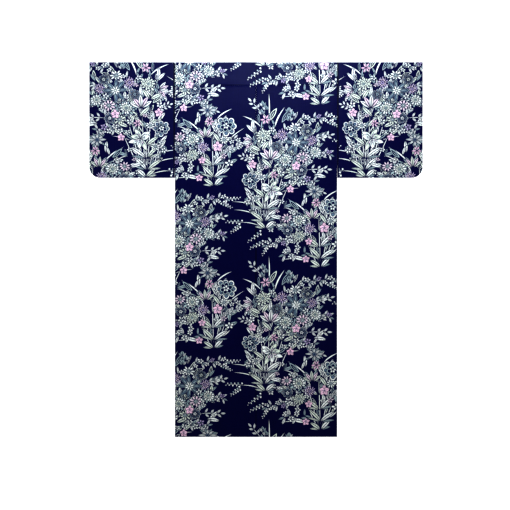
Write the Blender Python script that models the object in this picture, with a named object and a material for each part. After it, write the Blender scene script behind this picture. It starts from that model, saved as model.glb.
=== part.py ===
"""A cotton yukata robe laid out flat with its front on the floor, so that its back faces up.

Metres, +Z up. X runs across the garment and +Y towards its shoulders. The origin is the middle of the
garment's outline, on the floor. Places on the cloth are written as (x, drop), where drop is the
distance below the shoulder line.

Each piece is one panel that a maker cuts and sews. The panels lie on each other in this order:
the left front with its okumi panel and its side of the collar, the same pieces of the right side,
and then the two backs. Every cloth lies over what is under it.
"""

import math

import bpy
import numpy as np

# Driving sizes
BODY_LENGTH = 1.590
SLEEVE_DROP = 0.490
HALF_BACK = 0.344
SLEEVE_WIDTH = 0.363
SLEEVE_CORNER = 0.047
WRIST_OPENING = 0.225
NECK_HALF = 0.090
COLLAR_WIDTH = 0.055
COLLAR_END_WIDTH = 0.070
FRONT_WIDTH = 0.284
OKUMI_WIDTH = 0.150
OKUMI_TIP_DROP = 0.230
OKUMI_TIP_CUT = 0.024
COLLAR_END_DROP = 0.850
TUCK_DROP = 0.098

# Thicknesses and clearances
CLOTH = 0.0010
COLLAR = 0.0024
GAP = 0.0003
TUCK_RISE = 0.0005
SLEEVE_LOFT = 0.0005
NECK_INSET = 0.0024

# Places worked out from the sizes
FRONT_EDGE = HALF_BACK - FRONT_WIDTH
OVERLAP = OKUMI_WIDTH - FRONT_EDGE
COLLAR_END_X = COLLAR_END_WIDTH - OVERLAP
SLANT_DEPTH = COLLAR_END_DROP - OKUMI_TIP_DROP
SHOULDER_Y = BODY_LENGTH / 2
TWO_LAYERS = 2 * CLOTH + GAP

# The raster that remembers how high the pile is
CELL = 0.005
RASTER_MARGIN = 0.055
SPREAD = 0.034
SOFTEN = 0.018

NAVY = (0.010, 0.012, 0.060, 1.0)
COTTON_ROUGHNESS = 0.85

FOLD_STEPS = 6


def clear_scene():
    for old in list(bpy.data.objects):
        bpy.data.objects.remove(old)


def cotton(name):
    """Navy cotton, one material for each piece."""
    made = bpy.data.materials.new(name)
    made.use_nodes = True
    shader = made.node_tree.nodes["Principled BSDF"]
    shader.inputs["Base Color"].default_value = NAVY
    shader.inputs["Roughness"].default_value = COTTON_ROUGHNESS
    shader.inputs["Metallic"].default_value = 0.0
    return made


# Outlines of the panels, for the right side; the left side mirrors them


def front_inner(drop):
    """Where a front panel ends: it slants from the neck to the okumi's tip, then runs to the hem."""
    share = np.clip(drop / OKUMI_TIP_DROP, 0, 1)
    return NECK_HALF + (FRONT_EDGE - NECK_HALF) * share


def collar_side(drop):
    """Where the collar is sewn to an okumi panel: a slant from the okumi's tip to the collar's end."""
    share = np.clip((drop - OKUMI_TIP_DROP) / SLANT_DEPTH, 0, 1)
    return FRONT_EDGE - (FRONT_EDGE - COLLAR_END_X) * share


def on_front(x, drop):
    return (x >= front_inner(drop)) & (x <= HALF_BACK) & (drop >= 0) & (drop <= BODY_LENGTH)


def on_okumi(x, drop):
    """Below the collar's end the okumi has its full width."""
    free = np.where(drop < COLLAR_END_DROP, collar_side(drop), -OVERLAP)
    return (x >= free) & (x <= FRONT_EDGE) & (drop >= OKUMI_TIP_DROP) & (drop <= BODY_LENGTH)


def collar_lines():
    """The collar's sewn line and its folded line, from its left end round the neck to its right end."""
    half = [
        (front_inner(NECK_INSET) - GAP, NECK_INSET),
        (FRONT_EDGE - GAP, OKUMI_TIP_DROP),
        (COLLAR_END_X - GAP, COLLAR_END_DROP),
    ]
    sewn = np.array([(-x, drop) for x, drop in reversed(half)] + half)
    along = np.diff(sewn, axis=0)
    along /= np.linalg.norm(along, axis=1)[:, None]
    across = np.stack([-along[:, 1], along[:, 0]], axis=1)
    mitre = (across[:-1] + across[1:]) / (1 + (across[:-1] * across[1:]).sum(axis=1))[:, None]
    folded = sewn[1:-1] + mitre * COLLAR_WIDTH
    end = np.array([OVERLAP, COLLAR_END_DROP])
    return sewn, np.vstack([end, folded, end * (-1, 1)])


def on_quad(x, drop, corners):
    """Whether each place lies in a four-cornered shape."""
    signs = []
    for (ax, ay), (bx, by) in zip(corners, np.roll(corners, -1, axis=0)):
        signs.append((bx - ax) * (drop - ay) - (by - ay) * (x - ax) > 0)
    signs = np.array(signs)
    return signs.all(axis=0) | ~signs.any(axis=0)


def collar_stretches():
    """The collar's five straight stretches as quads: left end, left chest, neck, right chest, right end."""
    sewn, folded = collar_lines()
    return [
        np.array([sewn[i], sewn[i + 1], folded[i + 1], folded[i]]) for i in range(len(sewn) - 1)
    ]


# The pile


class Pile:
    """How high the pieces laid so far reach, on a raster, so that the next cloth can lie over them."""

    def __init__(self):
        self.xs = np.arange(-HALF_BACK - RASTER_MARGIN, HALF_BACK + RASTER_MARGIN, CELL)
        self.drops = np.arange(-RASTER_MARGIN, BODY_LENGTH + RASTER_MARGIN, CELL)
        self.x, self.drop = np.meshgrid(self.xs, self.drops)
        self.clear_height = np.zeros_like(self.x)

    def lay(self, covered, top):
        """Records a piece: covered is a mask over the raster, and top its upper face's height."""
        self.clear_height = np.where(
            covered, np.maximum(self.clear_height, top + GAP), self.clear_height
        )

    def cloth_over(self):
        """The lowest height of a cloth laid over the pile, softened, as a function of x and drop."""
        field = shifted(self.clear_height, SPREAD, np.maximum.reduce)
        field = shifted(field, SOFTEN, lambda stack: np.mean(stack, axis=0))
        xs, drops = self.xs, self.drops

        def height(x, drop):
            x, drop = np.broadcast_arrays(np.asarray(x, float), np.asarray(drop, float))
            across = np.clip((x - xs[0]) / CELL, 0, len(xs) - 1.001)
            down = np.clip((drop - drops[0]) / CELL, 0, len(drops) - 1.001)
            i, j = down.astype(int), across.astype(int)
            a, b = down - i, across - j
            upper = field[i, j] * (1 - b) + field[i, j + 1] * b
            lower = field[i + 1, j] * (1 - b) + field[i + 1, j + 1] * b
            return upper * (1 - a) + lower * a

        return height


def shifted(field, radius, combine):
    """Combines each cell with its neighbours within the radius."""
    reach = round(radius / CELL)
    padded = np.pad(field, reach, mode="edge")
    stack = [
        padded[reach + i : reach + i + field.shape[0], reach + j : reach + j + field.shape[1]]
        for i in range(-reach, reach + 1)
        for j in range(-reach, reach + 1)
        if i * i + j * j <= reach * reach
    ]
    return combine(np.array(stack))


def lay_the_pile():
    """The heights at which the right front and the backs lie. The left front lies on the floor."""
    left_end, left_chest, neck, right_chest, right_end = collar_stretches()
    pile = Pile()
    x, drop = pile.x, pile.drop
    pile.lay(on_front(-x, drop), CLOTH)
    pile.lay(on_okumi(-x, drop), CLOTH)
    pile.lay(on_quad(x, drop, left_end) | on_quad(x, drop, left_chest), COLLAR)
    over_left = pile.cloth_over()
    low = over_left(x, drop)
    pile.lay(on_quad(x, drop, neck), COLLAR)
    pile.lay(on_front(x, drop) | on_okumi(x, drop), low + CLOTH)
    pile.lay(on_quad(x, drop, right_chest) | on_quad(x, drop, right_end), low + COLLAR)
    return over_left, pile.cloth_over()


# Cloth from a grid of points


def cloth_piece(name, points, present, thickness, flip=False):
    """A panel: the grid of points is its outer face, and the wall grows inwards from it.

    points is rows x columns x 3, present says which cells of the grid hold cloth, and flip turns
    the outer face round, for a mirrored grid.
    """
    rows, columns = points.shape[:2]
    index = np.arange(rows * columns).reshape(rows, columns)
    faces = []
    for i in range(rows - 1):
        for j in range(columns - 1):
            if present[i, j]:
                corners = [index[i, j], index[i, j + 1], index[i + 1, j + 1], index[i + 1, j]]
                faces.append(corners[::-1] if flip else corners)
    return panel(name, points.reshape(-1, 3), faces, thickness)


def panel(name, points, faces, thickness):
    """An object from an outer face, given its thickness by Solidify."""
    used = sorted({int(corner) for face in faces for corner in face})
    place = {old: new for new, old in enumerate(used)}
    mesh = bpy.data.meshes.new(name)
    mesh.from_pydata(
        [tuple(points[i]) for i in used],
        [],
        [[place[int(corner)] for corner in face] for face in faces],
    )
    mesh.materials.append(cotton(name))
    made = bpy.data.objects.new(name, mesh)
    bpy.context.scene.collection.objects.link(made)
    wall = made.modifiers.new("wall", "SOLIDIFY")
    wall.thickness = thickness
    wall.offset = -1.0
    wall.use_even_offset = True
    return made


def tuck_rise(drop):
    """The sewn tuck across the back: it rises softly and ends in a step at its fold."""
    return TUCK_RISE * np.interp(drop, [0.066, 0.082, TUCK_DROP, TUCK_DROP + 0.001], [0, 1, 1, 0])


BACK_DROPS = (
    [0.006, 0.022, 0.045, 0.066, 0.082, TUCK_DROP, TUCK_DROP + 0.001, 0.125, 0.160, 0.195, 0.230]
    + list(np.arange(0.265, 0.900, 0.036))
    + list(np.linspace(0.930, BODY_LENGTH, 8))
)
LEFT_FRONT_DROPS = [0.006, 0.115, OKUMI_TIP_DROP, 0.600, 1.000, BODY_LENGTH]
RIGHT_FRONT_DROPS = (
    [0.006, 0.115, OKUMI_TIP_DROP]
    + list(np.arange(0.300, 0.980, 0.036))
    + list(np.linspace(1.040, BODY_LENGTH, 4))
)
NECK_SHARES = np.linspace(0, 1, 6)
SHOULDER_SHARES = np.array([0, 0.055, 0.11, 0.17, 0.24, 0.34, 0.50, 0.75, 1.0])


def body_panel(name, side, under_front, under_back, front_drops):
    """A body panel: one strip of cloth from the back hem over the shoulder to the front hem.

    side is 1 for the right and -1 for the left. The neck's cut ends the strip at the shoulder
    line near the middle.
    """
    centre = GAP / 2
    neck_x = centre + (NECK_HALF - centre) * NECK_SHARES[:-1]
    shoulder_x = NECK_HALF + (HALF_BACK - NECK_HALF) * SHOULDER_SHARES
    back_x = np.concatenate([neck_x, shoulder_x])

    def front_x(drop):
        inner = front_inner(drop)
        shoulder = inner + (HALF_BACK - inner) * SHOULDER_SHARES
        return np.concatenate([neck_x, shoulder])

    def upper(x, drop):
        return under_back(side * x, drop) + CLOTH

    rows, kinds = [], []
    for drop in reversed(BACK_DROPS):
        heights = upper(back_x, drop) + tuck_rise(drop)
        rows.append(np.stack([back_x, np.full_like(back_x, SHOULDER_Y - drop), heights], axis=1))
        kinds.append("back")
    high = upper(back_x, BACK_DROPS[0])
    low = np.where(back_x < NECK_HALF, 0.0, under_front(side * back_x, front_drops[0]))
    radius, middle = (high - low) / 2, (high + low) / 2
    for step in range(FOLD_STEPS + 1):
        angle = math.pi * (0.5 - step / FOLD_STEPS)
        y = SHOULDER_Y - radius + radius * math.cos(angle)
        rows.append(np.stack([back_x, y, middle + radius * math.sin(angle)], axis=1))
        kinds.append("upper fold" if step < FOLD_STEPS / 2 else "lower fold")
    for drop in front_drops:
        x = front_x(drop)
        rows.append(np.stack([x, np.full_like(x, SHOULDER_Y - drop), under_front(side * x, drop)], axis=1))
        kinds.append("front")
    points = np.array(rows)
    points[:, :, 0] *= side
    present = np.ones((len(rows) - 1, len(back_x) - 1), bool)
    for i, kind in enumerate(kinds[:-1]):
        if kind in ("lower fold", "front"):
            present[i, : len(neck_x)] = False
    return cloth_piece(name, points, present, CLOTH, flip=side < 0)


def okumi_panel(name, side, under, drops):
    """The narrow overlap panel between a front and its collar.

    It has columns on both sides of the collar's end, where its free edge steps out to its full width.
    """
    beside = np.linspace(-OVERLAP + GAP, COLLAR_END_X, 4)[:-1]
    shares = np.linspace(0, 1, 5)
    rows = []
    for drop in drops:
        sewn = collar_side(drop) + GAP
        x = np.concatenate([beside, sewn + (FRONT_EDGE - GAP - sewn) * shares])
        rows.append(np.stack([x, np.full_like(x, SHOULDER_Y - drop), under(side * x, drop)], axis=1))
    points = np.array(rows)
    points[:, :, 0] *= side
    present = np.ones((len(rows) - 1, len(beside) + len(shares) - 1), bool)
    for i, drop in enumerate(drops[1:]):
        present[i, : len(beside)] = drop > COLLAR_END_DROP + GAP
    return cloth_piece(name, points, present, CLOTH, flip=side < 0)


OKUMI_TIP = OKUMI_TIP_DROP + OKUMI_TIP_CUT
LEFT_OKUMI_DROPS = [OKUMI_TIP, 0.40, 0.60, COLLAR_END_DROP + GAP, 1.2, BODY_LENGTH]
RIGHT_OKUMI_DROPS = (
    [OKUMI_TIP]
    + list(np.arange(0.290, 0.840, 0.036))
    + [COLLAR_END_DROP + GAP, 0.875, 0.91, 0.95]
    + list(np.linspace(1.10, BODY_LENGTH, 4))
)


def collar(name, over_left):
    """The collar: a folded band from one front round the neck to the other, crossing over itself."""
    sewn, folded = collar_lines()
    steps = [20, 7, 6, 7, 20]
    across = np.linspace(0, 1, 5)
    rows = []
    for stretch, count in enumerate(steps):
        last = stretch == len(steps) - 1
        for step in range(count + last):
            share = step / count
            a = sewn[stretch] + (sewn[stretch + 1] - sewn[stretch]) * share
            b = folded[stretch] + (folded[stretch + 1] - folded[stretch]) * share
            places = a + (b - a) * across[:, None]
            height = over_left(places[:, 0], places[:, 1]) if stretch > 2 else np.zeros(len(across))
            rows.append(np.stack([places[:, 0], SHOULDER_Y - places[:, 1], height], axis=1))
    points = np.array(rows)
    present = np.ones((len(rows) - 1, len(across) - 1), bool)
    return cloth_piece(name, points, present, COLLAR, flip=True)


def sleeve_drop_at(distance):
    """The sleeve's depth at a distance from its armhole: its outer lower corner is rounded."""
    past = max(0.0, distance - (SLEEVE_WIDTH - SLEEVE_CORNER))
    return SLEEVE_DROP - SLEEVE_CORNER + math.sqrt(max(0.0, SLEEVE_CORNER**2 - past**2))


def sleeve(name, side):
    """A sleeve: one cloth folded along the shoulder, sewn along the bottom and up to the wrist opening."""
    corner_angles = np.radians([0, 22, 42, 60, 76])
    corner = SLEEVE_WIDTH - SLEEVE_CORNER + SLEEVE_CORNER * np.sin(corner_angles)
    distances = [0.0, 0.015, 0.09, 0.18, 0.26, *corner, SLEEVE_WIDTH]
    end_depth = sleeve_drop_at(SLEEVE_WIDTH)
    wrist = WRIST_OPENING / end_depth
    shares = [0.03, 0.18, 0.34, wrist, 0.64, 0.78, 0.90, 0.975]
    radius = TWO_LAYERS / 2
    quarter = [math.pi * (0.5 - step / FOLD_STEPS) for step in range(FOLD_STEPS + 1)]
    inner_x = HALF_BACK + GAP

    rings = []
    for distance in distances:
        x, depth = inner_x + distance, sleeve_drop_at(distance)
        loft = SLEEVE_LOFT * math.sin(math.pi * distance / SLEEVE_WIDTH)
        upper = [(depth * share, TWO_LAYERS + loft * math.sin(math.pi * share)) for share in shares]
        bottom = [(depth - radius + radius * math.cos(a), radius + radius * math.sin(a)) for a in quarter]
        lower = [(depth * share, 0.0) for share in reversed(shares)]
        top = [(radius - radius * math.cos(a), radius - radius * math.sin(a)) for a in quarter]
        ring = upper + bottom + lower + top
        rings.append([(side * x, SHOULDER_Y - drop, z) for drop, z in ring])
    size = len(rings[0])
    points = np.array(rings).reshape(-1, 3)
    faces = []
    for i in range(len(rings) - 1):
        for j in range(size):
            k = (j + 1) % size
            faces.append([i * size + j, i * size + k, (i + 1) * size + k, (i + 1) * size + j])
    # The outer end is sewn shut below the wrist opening
    end, last = (len(rings) - 1) * size, len(shares) + len(quarter) - 1
    for j in range(shares.index(wrist), len(shares)):
        over, under = j, last + len(shares) - j
        faces.append([end + over, end + over + 1, end + under - 1, end + under])
    faces.append([end + len(shares) + j for j in range(len(quarter))])
    if side < 0:
        faces = [face[::-1] for face in faces]
    return panel(name, points, faces, CLOTH)


def floor(x, drop):
    return np.zeros(np.broadcast(x, drop).shape)


def main():
    clear_scene()
    over_left, over_front = lay_the_pile()
    body_panel("body_left", -1, floor, over_front, LEFT_FRONT_DROPS)
    body_panel("body_right", 1, over_left, over_front, RIGHT_FRONT_DROPS)
    okumi_panel("okumi_left", -1, floor, LEFT_OKUMI_DROPS)
    okumi_panel("okumi_right", 1, over_left, RIGHT_OKUMI_DROPS)
    collar("collar", over_left)
    sleeve("sleeve_left", -1)
    sleeve("sleeve_right", 1)


main()
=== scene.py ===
import math
import random

import bpy
import numpy as np
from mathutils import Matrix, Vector
from mathutils.bvhtree import BVHTree
from mathutils.geometry import delaunay_2d_cdt


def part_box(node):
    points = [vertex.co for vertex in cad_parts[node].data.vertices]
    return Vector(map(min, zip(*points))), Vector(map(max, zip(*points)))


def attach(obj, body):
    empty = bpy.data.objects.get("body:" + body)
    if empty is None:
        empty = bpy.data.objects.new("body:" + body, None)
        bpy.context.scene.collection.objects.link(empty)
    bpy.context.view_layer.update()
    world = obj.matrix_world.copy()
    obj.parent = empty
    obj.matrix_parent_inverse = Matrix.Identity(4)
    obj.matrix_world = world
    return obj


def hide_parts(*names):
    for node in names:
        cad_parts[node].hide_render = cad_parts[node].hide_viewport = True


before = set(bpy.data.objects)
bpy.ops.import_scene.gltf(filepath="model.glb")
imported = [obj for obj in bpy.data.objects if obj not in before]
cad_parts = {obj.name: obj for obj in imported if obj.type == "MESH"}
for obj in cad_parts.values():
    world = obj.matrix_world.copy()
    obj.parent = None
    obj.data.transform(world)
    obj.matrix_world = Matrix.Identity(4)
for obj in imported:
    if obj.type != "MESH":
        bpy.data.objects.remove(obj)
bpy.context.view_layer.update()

# A cotton yukata laid out flat with its back up. Metres, shoulders towards +Y.
# Every cloth is cut from a plane: x is the garment's x, and y runs up from the shoulder fold.
# A back lies below y = 0. The same strip goes on over the shoulder, so a front lies above y = 0.


# What the frame gives

bodyLow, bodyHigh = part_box("body_right")
sleeveLow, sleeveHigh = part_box("sleeve_right")
okumiLow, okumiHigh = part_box("okumi_right")
shoulderY = bodyHigh.y
hemDrop = bodyHigh.y - bodyLow.y
seamGap = bodyLow.x * 2
okumiSeam = okumiHigh.x


# Camera: straight down, one pixel of a 510 pixel picture is 4.26 mm of cloth

cameraValues = {
    "pictureWidth": 2.1638,
    "height": 6.0,
    "sensor": 36.0,
    "farthest": 50.0,
    "centre": (-0.0043, -0.0234),
}


def makeCamera(values):
    data = bpy.data.cameras.new("overheadCamera")
    data.sensor_width = values["sensor"]
    data.lens = values["sensor"] * values["height"] / values["pictureWidth"]
    data.clip_end = values["farthest"]
    camera = bpy.data.objects.new("overheadCamera", data)
    camera.location = (*values["centre"], values["height"])
    bpy.context.scene.collection.objects.link(camera)
    bpy.context.scene.camera = camera


makeCamera(cameraValues)
print("camera made")


# Floor and light

stageValues = {
    "floorSize": 14.0,
    "floorLevel": -0.0004,
    "floorColour": (0.86, 0.86, 0.86),
    "floorRoughness": 0.9,
    "floorGlow": 0.72,
    "worldColour": (0.92, 0.95, 1.0),
    "worldLight": 0.14,
    "look": "High Contrast",
}
# name, centre, aim, size, watts, colour
lampTable = [
    ("windowLight", (0.0, 1.15, 0.95), (0.0, 0.60, 0.0), (0.8, 0.5), 16.0, (0.80, 0.90, 1.0)),
    ("leftLight", (-3.0, 0.2, 2.6), (0.0, 0.0, 0.0), (2.0, 2.0), 48.0, (1.0, 0.99, 0.95)),
    ("rightLight", (3.0, 0.2, 2.6), (0.0, 0.0, 0.0), (2.0, 2.0), 48.0, (1.0, 0.99, 0.95)),
]


def makeFloor(values):
    half = values["floorSize"] / 2
    mesh = bpy.data.meshes.new("studioFloor")
    corners = [(-half, -half), (half, -half), (half, half), (-half, half)]
    mesh.from_pydata([(x, y, values["floorLevel"]) for x, y in corners], [], [(0, 1, 2, 3)])
    paint = bpy.data.materials.new("studioFloor")
    paint.use_nodes = True
    shader = paint.node_tree.nodes["Principled BSDF"]
    shader.inputs["Base Color"].default_value = (*values["floorColour"], 1)
    shader.inputs["Roughness"].default_value = values["floorRoughness"]
    shader.inputs["Emission Color"].default_value = (1, 1, 1, 1)
    shader.inputs["Emission Strength"].default_value = values["floorGlow"]
    mesh.materials.append(paint)
    floor = bpy.data.objects.new("studioFloor", mesh)
    bpy.context.scene.collection.objects.link(floor)


def makeLamps(table):
    for name, place, aim, size, watts, colour in table:
        lamp = bpy.data.lights.new(name, "AREA")
        lamp.shape = "RECTANGLE"
        lamp.size, lamp.size_y = size
        lamp.energy = watts
        lamp.color = colour
        holder = bpy.data.objects.new(name, lamp)
        holder.location = place
        holder.rotation_euler = (Vector(aim) - Vector(place)).to_track_quat("-Z", "Y").to_euler()
        bpy.context.scene.collection.objects.link(holder)


def makeWorld(values):
    world = bpy.data.worlds.new("studioAir")
    world.use_nodes = True
    background = world.node_tree.nodes["Background"]
    background.inputs["Color"].default_value = (*values["worldColour"], 1)
    background.inputs["Strength"].default_value = values["worldLight"]
    bpy.context.scene.world = world
    bpy.context.scene.view_settings.view_transform = "Standard"
    bpy.context.scene.view_settings.look = values["look"]


makeFloor(stageValues)
makeLamps(lampTable)
makeWorld(stageValues)
print("floor and light made")


# The print. Bouquets are drawn in centimetres from their foot, y up the cloth, angles in degrees.
# Each is a list of marks, and a later mark covers an earlier one.

dyes = {
    "navy": (0.0012, 0.0017, 0.042),
    "white": (0.83, 0.88, 0.85),
    "cream": (0.68, 0.75, 0.66),
    "mist": (0.36, 0.46, 0.47),
    "slate": (0.12, 0.18, 0.25),
    "olive": (0.30, 0.37, 0.31),
    "pink": (0.84, 0.58, 0.72),
    "blush": (0.78, 0.66, 0.74),
    "lavender": (0.44, 0.37, 0.56),
}
navyRgb = np.array(dyes["navy"])


class Drawing:
    # The marks of one bouquet, with the random source that varies them

    def __init__(self, seed):
        self.rng = random.Random(seed)
        self.marks = []

    def mark(self, x, y, angle, length, width, dye, pointed=False, bend=0.0, veins=0.0, fade=0.35,
             tone=1.0):
        # A leaf shape if pointed, and otherwise an oval, that starts at (x, y)
        self.marks.append({
            "x": x, "y": y, "angle": angle, "length": length, "width": width, "dye": dye,
            "pointed": pointed, "bend": bend, "veins": veins, "fade": fade, "tone": tone,
        })

    def vary(self, low, high):
        return self.rng.uniform(low, high)


def around(x, y, angle, distance):
    return x + distance * math.cos(math.radians(angle)), y + distance * math.sin(math.radians(angle))


def along(x, y, angle, length, bend, share):
    # A place on a bent stem, and the stem's direction there
    a = math.radians(angle)
    v, u = share * length, bend * share * share * length
    turned = angle + math.degrees(math.atan(2 * bend * share))
    return x + v * math.cos(a) - u * math.sin(a), y + v * math.sin(a) + u * math.cos(a), turned


def ring(d, x, y, count, inner, outer, width, dye, turn=0.0, squash=1.0, tilt=0.0, ragged=0.07, **more):
    for i in range(count):
        a = turn + 360 * i / count + d.vary(-5, 5)
        reach = outer * d.vary(1 - ragged * 1.4, 1 + ragged)
        across, up = math.cos(math.radians(a)), math.sin(math.radians(a)) * squash
        stretch = math.hypot(across, up)
        direction = math.degrees(math.atan2(up, across)) + tilt
        foot = around(x, y, direction, inner * stretch)
        d.mark(*foot, direction, (reach - inner) * stretch, width, dye, tone=d.vary(0.80, 1.08), **more)


def blob(d, x, y, r, dye, **more):
    d.mark(x - r, y, 0, 2 * r, 2 * r, dye, **more)


def lineRing(d, x, y, count, inner, outer, width, dye, inside="navy", share=0.62, **more):
    # Petals drawn as outlines: a ring, and a smaller darker one in it, from the same random draws
    state = d.rng.getstate()
    ring(d, x, y, count, inner, outer, width, dye, **more)
    d.rng.setstate(state)
    rim = (outer - inner) * (1 - share) / 2
    ring(d, x, y, count, inner + rim, outer - rim, width * share, inside, **more)


def chrysanthemum(d, x, y, r, dye="white", tilt=0.0):
    blob(d, x, y, r * 0.8, "navy")
    petals = {"squash": 0.86, "tilt": tilt, "ragged": 0.14}
    ring(d, x, y, 13, 0.34 * r, 1.1 * r, 0.35 * r, "mist" if dye == "white" else dye, fade=0.2, **petals)
    ring(d, x, y, 12, 0.16 * r, 0.86 * r, 0.30 * r, dye, turn=12, fade=0.35, **petals)
    ring(d, x, y, 9, 0.04 * r, 0.50 * r, 0.24 * r, "cream", turn=5, fade=0.35, **petals)
    ring(d, x, y, 5, 0.0, 0.20 * r, 0.2 * r, "mist", turn=5, fade=0.1)


def daisy(d, x, y, r, dye="white"):
    blob(d, x, y, r * 0.7, "navy")
    ring(d, x, y, 9, 0.10 * r, 1.08 * r, 0.38 * r, dye, squash=0.86, fade=0.3, ragged=0.16)
    ring(d, x, y, 6, 0.0, 0.42 * r, 0.2 * r, "mist", fade=0.2)
    blob(d, x, y, 0.10 * r, "white")


def scallop(d, x, y, r, dye="mist", heart="white"):
    blob(d, x, y, r * 0.8, "navy")
    petals = {"squash": 0.9, "fade": 0.4}
    lineRing(d, x, y, 8, 0.36 * r, 1.06 * r, 0.66 * r, "white", "slate", 0.60, ragged=0.1, **petals)
    lineRing(d, x, y, 6, 0.10 * r, 0.70 * r, 0.56 * r, dye, "navy", 0.55, turn=20, **petals)
    ring(d, x, y, 5, 0.0, 0.36 * r, 0.26 * r, heart, turn=9, fade=0.5)


def darkFlower(d, x, y, r):
    # A large slate flower of pointed petals with pale edges and ribs
    blob(d, x, y, r * 0.8, "navy")
    petals = {"squash": 0.92, "pointed": True, "fade": 0.0}
    lineRing(d, x, y, 8, 0.14 * r, 1.16 * r, 0.44 * r, "mist", "slate", 0.72, ragged=0.1, **petals)
    ring(d, x, y, 8, 0.20 * r, 0.92 * r, 0.10 * r, "mist", ragged=0.0, **petals)
    ring(d, x, y, 8, 0.0, 0.50 * r, 0.17 * r, "white", turn=22, **petals)
    blob(d, x, y, 0.12 * r, "cream")


def lily(d, x, y, r, turn=0.0):
    # Seven petals that curl to either side, with a blushed throat and dark lines
    blob(d, x, y, r * 0.5, "navy")
    for i in (0, 3, 5, 1, 4, 2, 6):
        a = turn + 360 * i / 7 + d.vary(-11, 11)
        size = r * d.vary(0.82, 1.2)
        bend = d.vary(0.14, 0.28) * (1 if i % 2 else -1)
        d.mark(x, y, a, size, 0.50 * r, "white" if i % 3 else "cream", pointed=True, bend=bend, fade=0.3)
        d.mark(x, y, a, 0.50 * size, 0.18 * r, "blush", pointed=True, bend=bend, fade=0.0)
        for side in (-1, 1):
            d.mark(x, y, a + 10 * side, 0.76 * size, 0.06 * r, "slate", pointed=True, bend=bend)
    ring(d, x, y, 5, 0.0, 0.40 * r, 0.09 * r, "white", pointed=True, turn=turn + 20, fade=0.0)


def cup(d, x, y, r, turn=90.0, dye="white"):
    petals = ((-50, 0.95, dye), (50, 0.95, dye), (-25, 1.0, "blush"), (25, 1.0, "blush"), (0, 1.05, dye))
    for offset, size, colour in petals:
        bend = 0.16 * np.sign(offset)
        d.mark(x, y, turn + offset, r * 1.25 * size, 0.44 * r, colour, pointed=True, bend=bend,
               veins=1.0, fade=0.4)


def bellflower(d, x, y, r):
    ring(d, x, y, 5, -0.12 * r, r, 0.90 * r, "pink", pointed=True, turn=90.0, fade=0.15, veins=0.3)
    ring(d, x, y, 5, 0.0, 0.35 * r, 0.12 * r, "lavender", turn=90.0, fade=0.2)


def star(d, x, y, r):
    ring(d, x, y, 6, 0.0, r, 0.42 * r, "pink", pointed=True, fade=0.2, veins=0.3)
    blob(d, x, y, 0.14 * r, "navy")


def spikyStar(d, x, y, r):
    blob(d, x, y, r * 0.5, "navy")
    points = {"squash": 0.8, "pointed": True, "veins": 0.7, "ragged": 0.12}
    ring(d, x, y, 9, 0.1 * r, r, 0.28 * r, "mist", turn=20, fade=0.4, **points)
    ring(d, x, y, 8, 0.0, 0.88 * r, 0.28 * r, "white", fade=0.5, **points)
    ring(d, x, y, 5, 0.0, 0.25 * r, 0.16 * r, "slate")


def plum(d, x, y, r, dye="white", turn=90.0):
    # A small flower of five petals, seen more or less from the side
    squash, tilt = d.vary(0.62, 0.95), d.vary(-35, 35)
    ring(d, x, y, 5, 0.04 * r, 1.05 * r, 0.58 * r, dye, turn=turn, fade=0.3, squash=squash,
         tilt=tilt, ragged=0.14)
    blob(d, x, y, 0.15 * r, "mist")


def pompon(d, x, y, r):
    blob(d, x, y, r * 0.8, "navy")
    ring(d, x, y, 13, 0.5 * r, 1.05 * r, 0.28 * r, "lavender", pointed=True, fade=0.2, ragged=0.12)
    ring(d, x, y, 10, 0.25 * r, 0.75 * r, 0.26 * r, "blush", turn=10, pointed=True, fade=0.3)
    ring(d, x, y, 7, 0.0, 0.42 * r, 0.22 * r, "lavender", turn=10, fade=0.3)


def leaf(d, x, y, angle, length, width=None, dye="white", bend=0.0, veins=2.0, fade=0.15):
    width = width or 0.30 * length
    d.mark(x, y, angle, length, width, dye, pointed=True, bend=bend, veins=veins, fade=fade)


def hollowLeaf(d, x, y, angle, length, width, dye="white", bend=0.0):
    # A leaf drawn as its outline and its rib
    leaf(d, x, y, angle, length, width, dye, bend, veins=0.0, fade=0.0)
    start = around(x, y, angle, 0.14 * length)
    leaf(d, *start, angle, 0.70 * length, 0.56 * width, "navy", bend, veins=0.0)
    leaf(d, *start, angle, 0.62 * length, 0.16 * width, dye, bend, veins=0.0, fade=0.0)


def blade(d, x, y, angle, length, bend, width):
    d.mark(x, y, angle, length, width, "white", pointed=True, bend=bend, fade=0.1)


def stem(d, x, y, angle, length, bend, width, gap=0.0):
    # gap is the width of bare cloth that a stem in a bundle keeps round it
    if gap:
        d.mark(x, y, angle, length, width + gap, "navy", pointed=True, bend=bend)
    d.mark(x, y, angle, length, width, "white", pointed=True, bend=bend, fade=0.0)


def nodeLeaves(d, x, y, angle, size, width):
    # Two opposite leaves that arch away from a stem
    for side in (-1, 1):
        s = size * d.vary(0.9, 1.08)
        leaf(d, x, y, angle + side * d.vary(36, 46), s, width, "cream", bend=side * 0.14)


def sprig(d, x, y, angle, length, bend, pairs, size):
    width = 0.45 * size
    stem(d, x, y, angle, length, bend, 0.4)
    for i in range(pairs):
        px, py, turned = along(x, y, angle, length, bend, (i + 1.0) / (pairs + 0.5))
        for side in (-1, 1):
            s = size * d.vary(0.8, 1.1)
            leaf(d, px, py, turned + side * d.vary(38, 60), s, width, veins=0.8)
    px, py, turned = along(x, y, angle, length, bend, 1.0)
    leaf(d, px, py, turned, size, width, veins=0.8)


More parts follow.
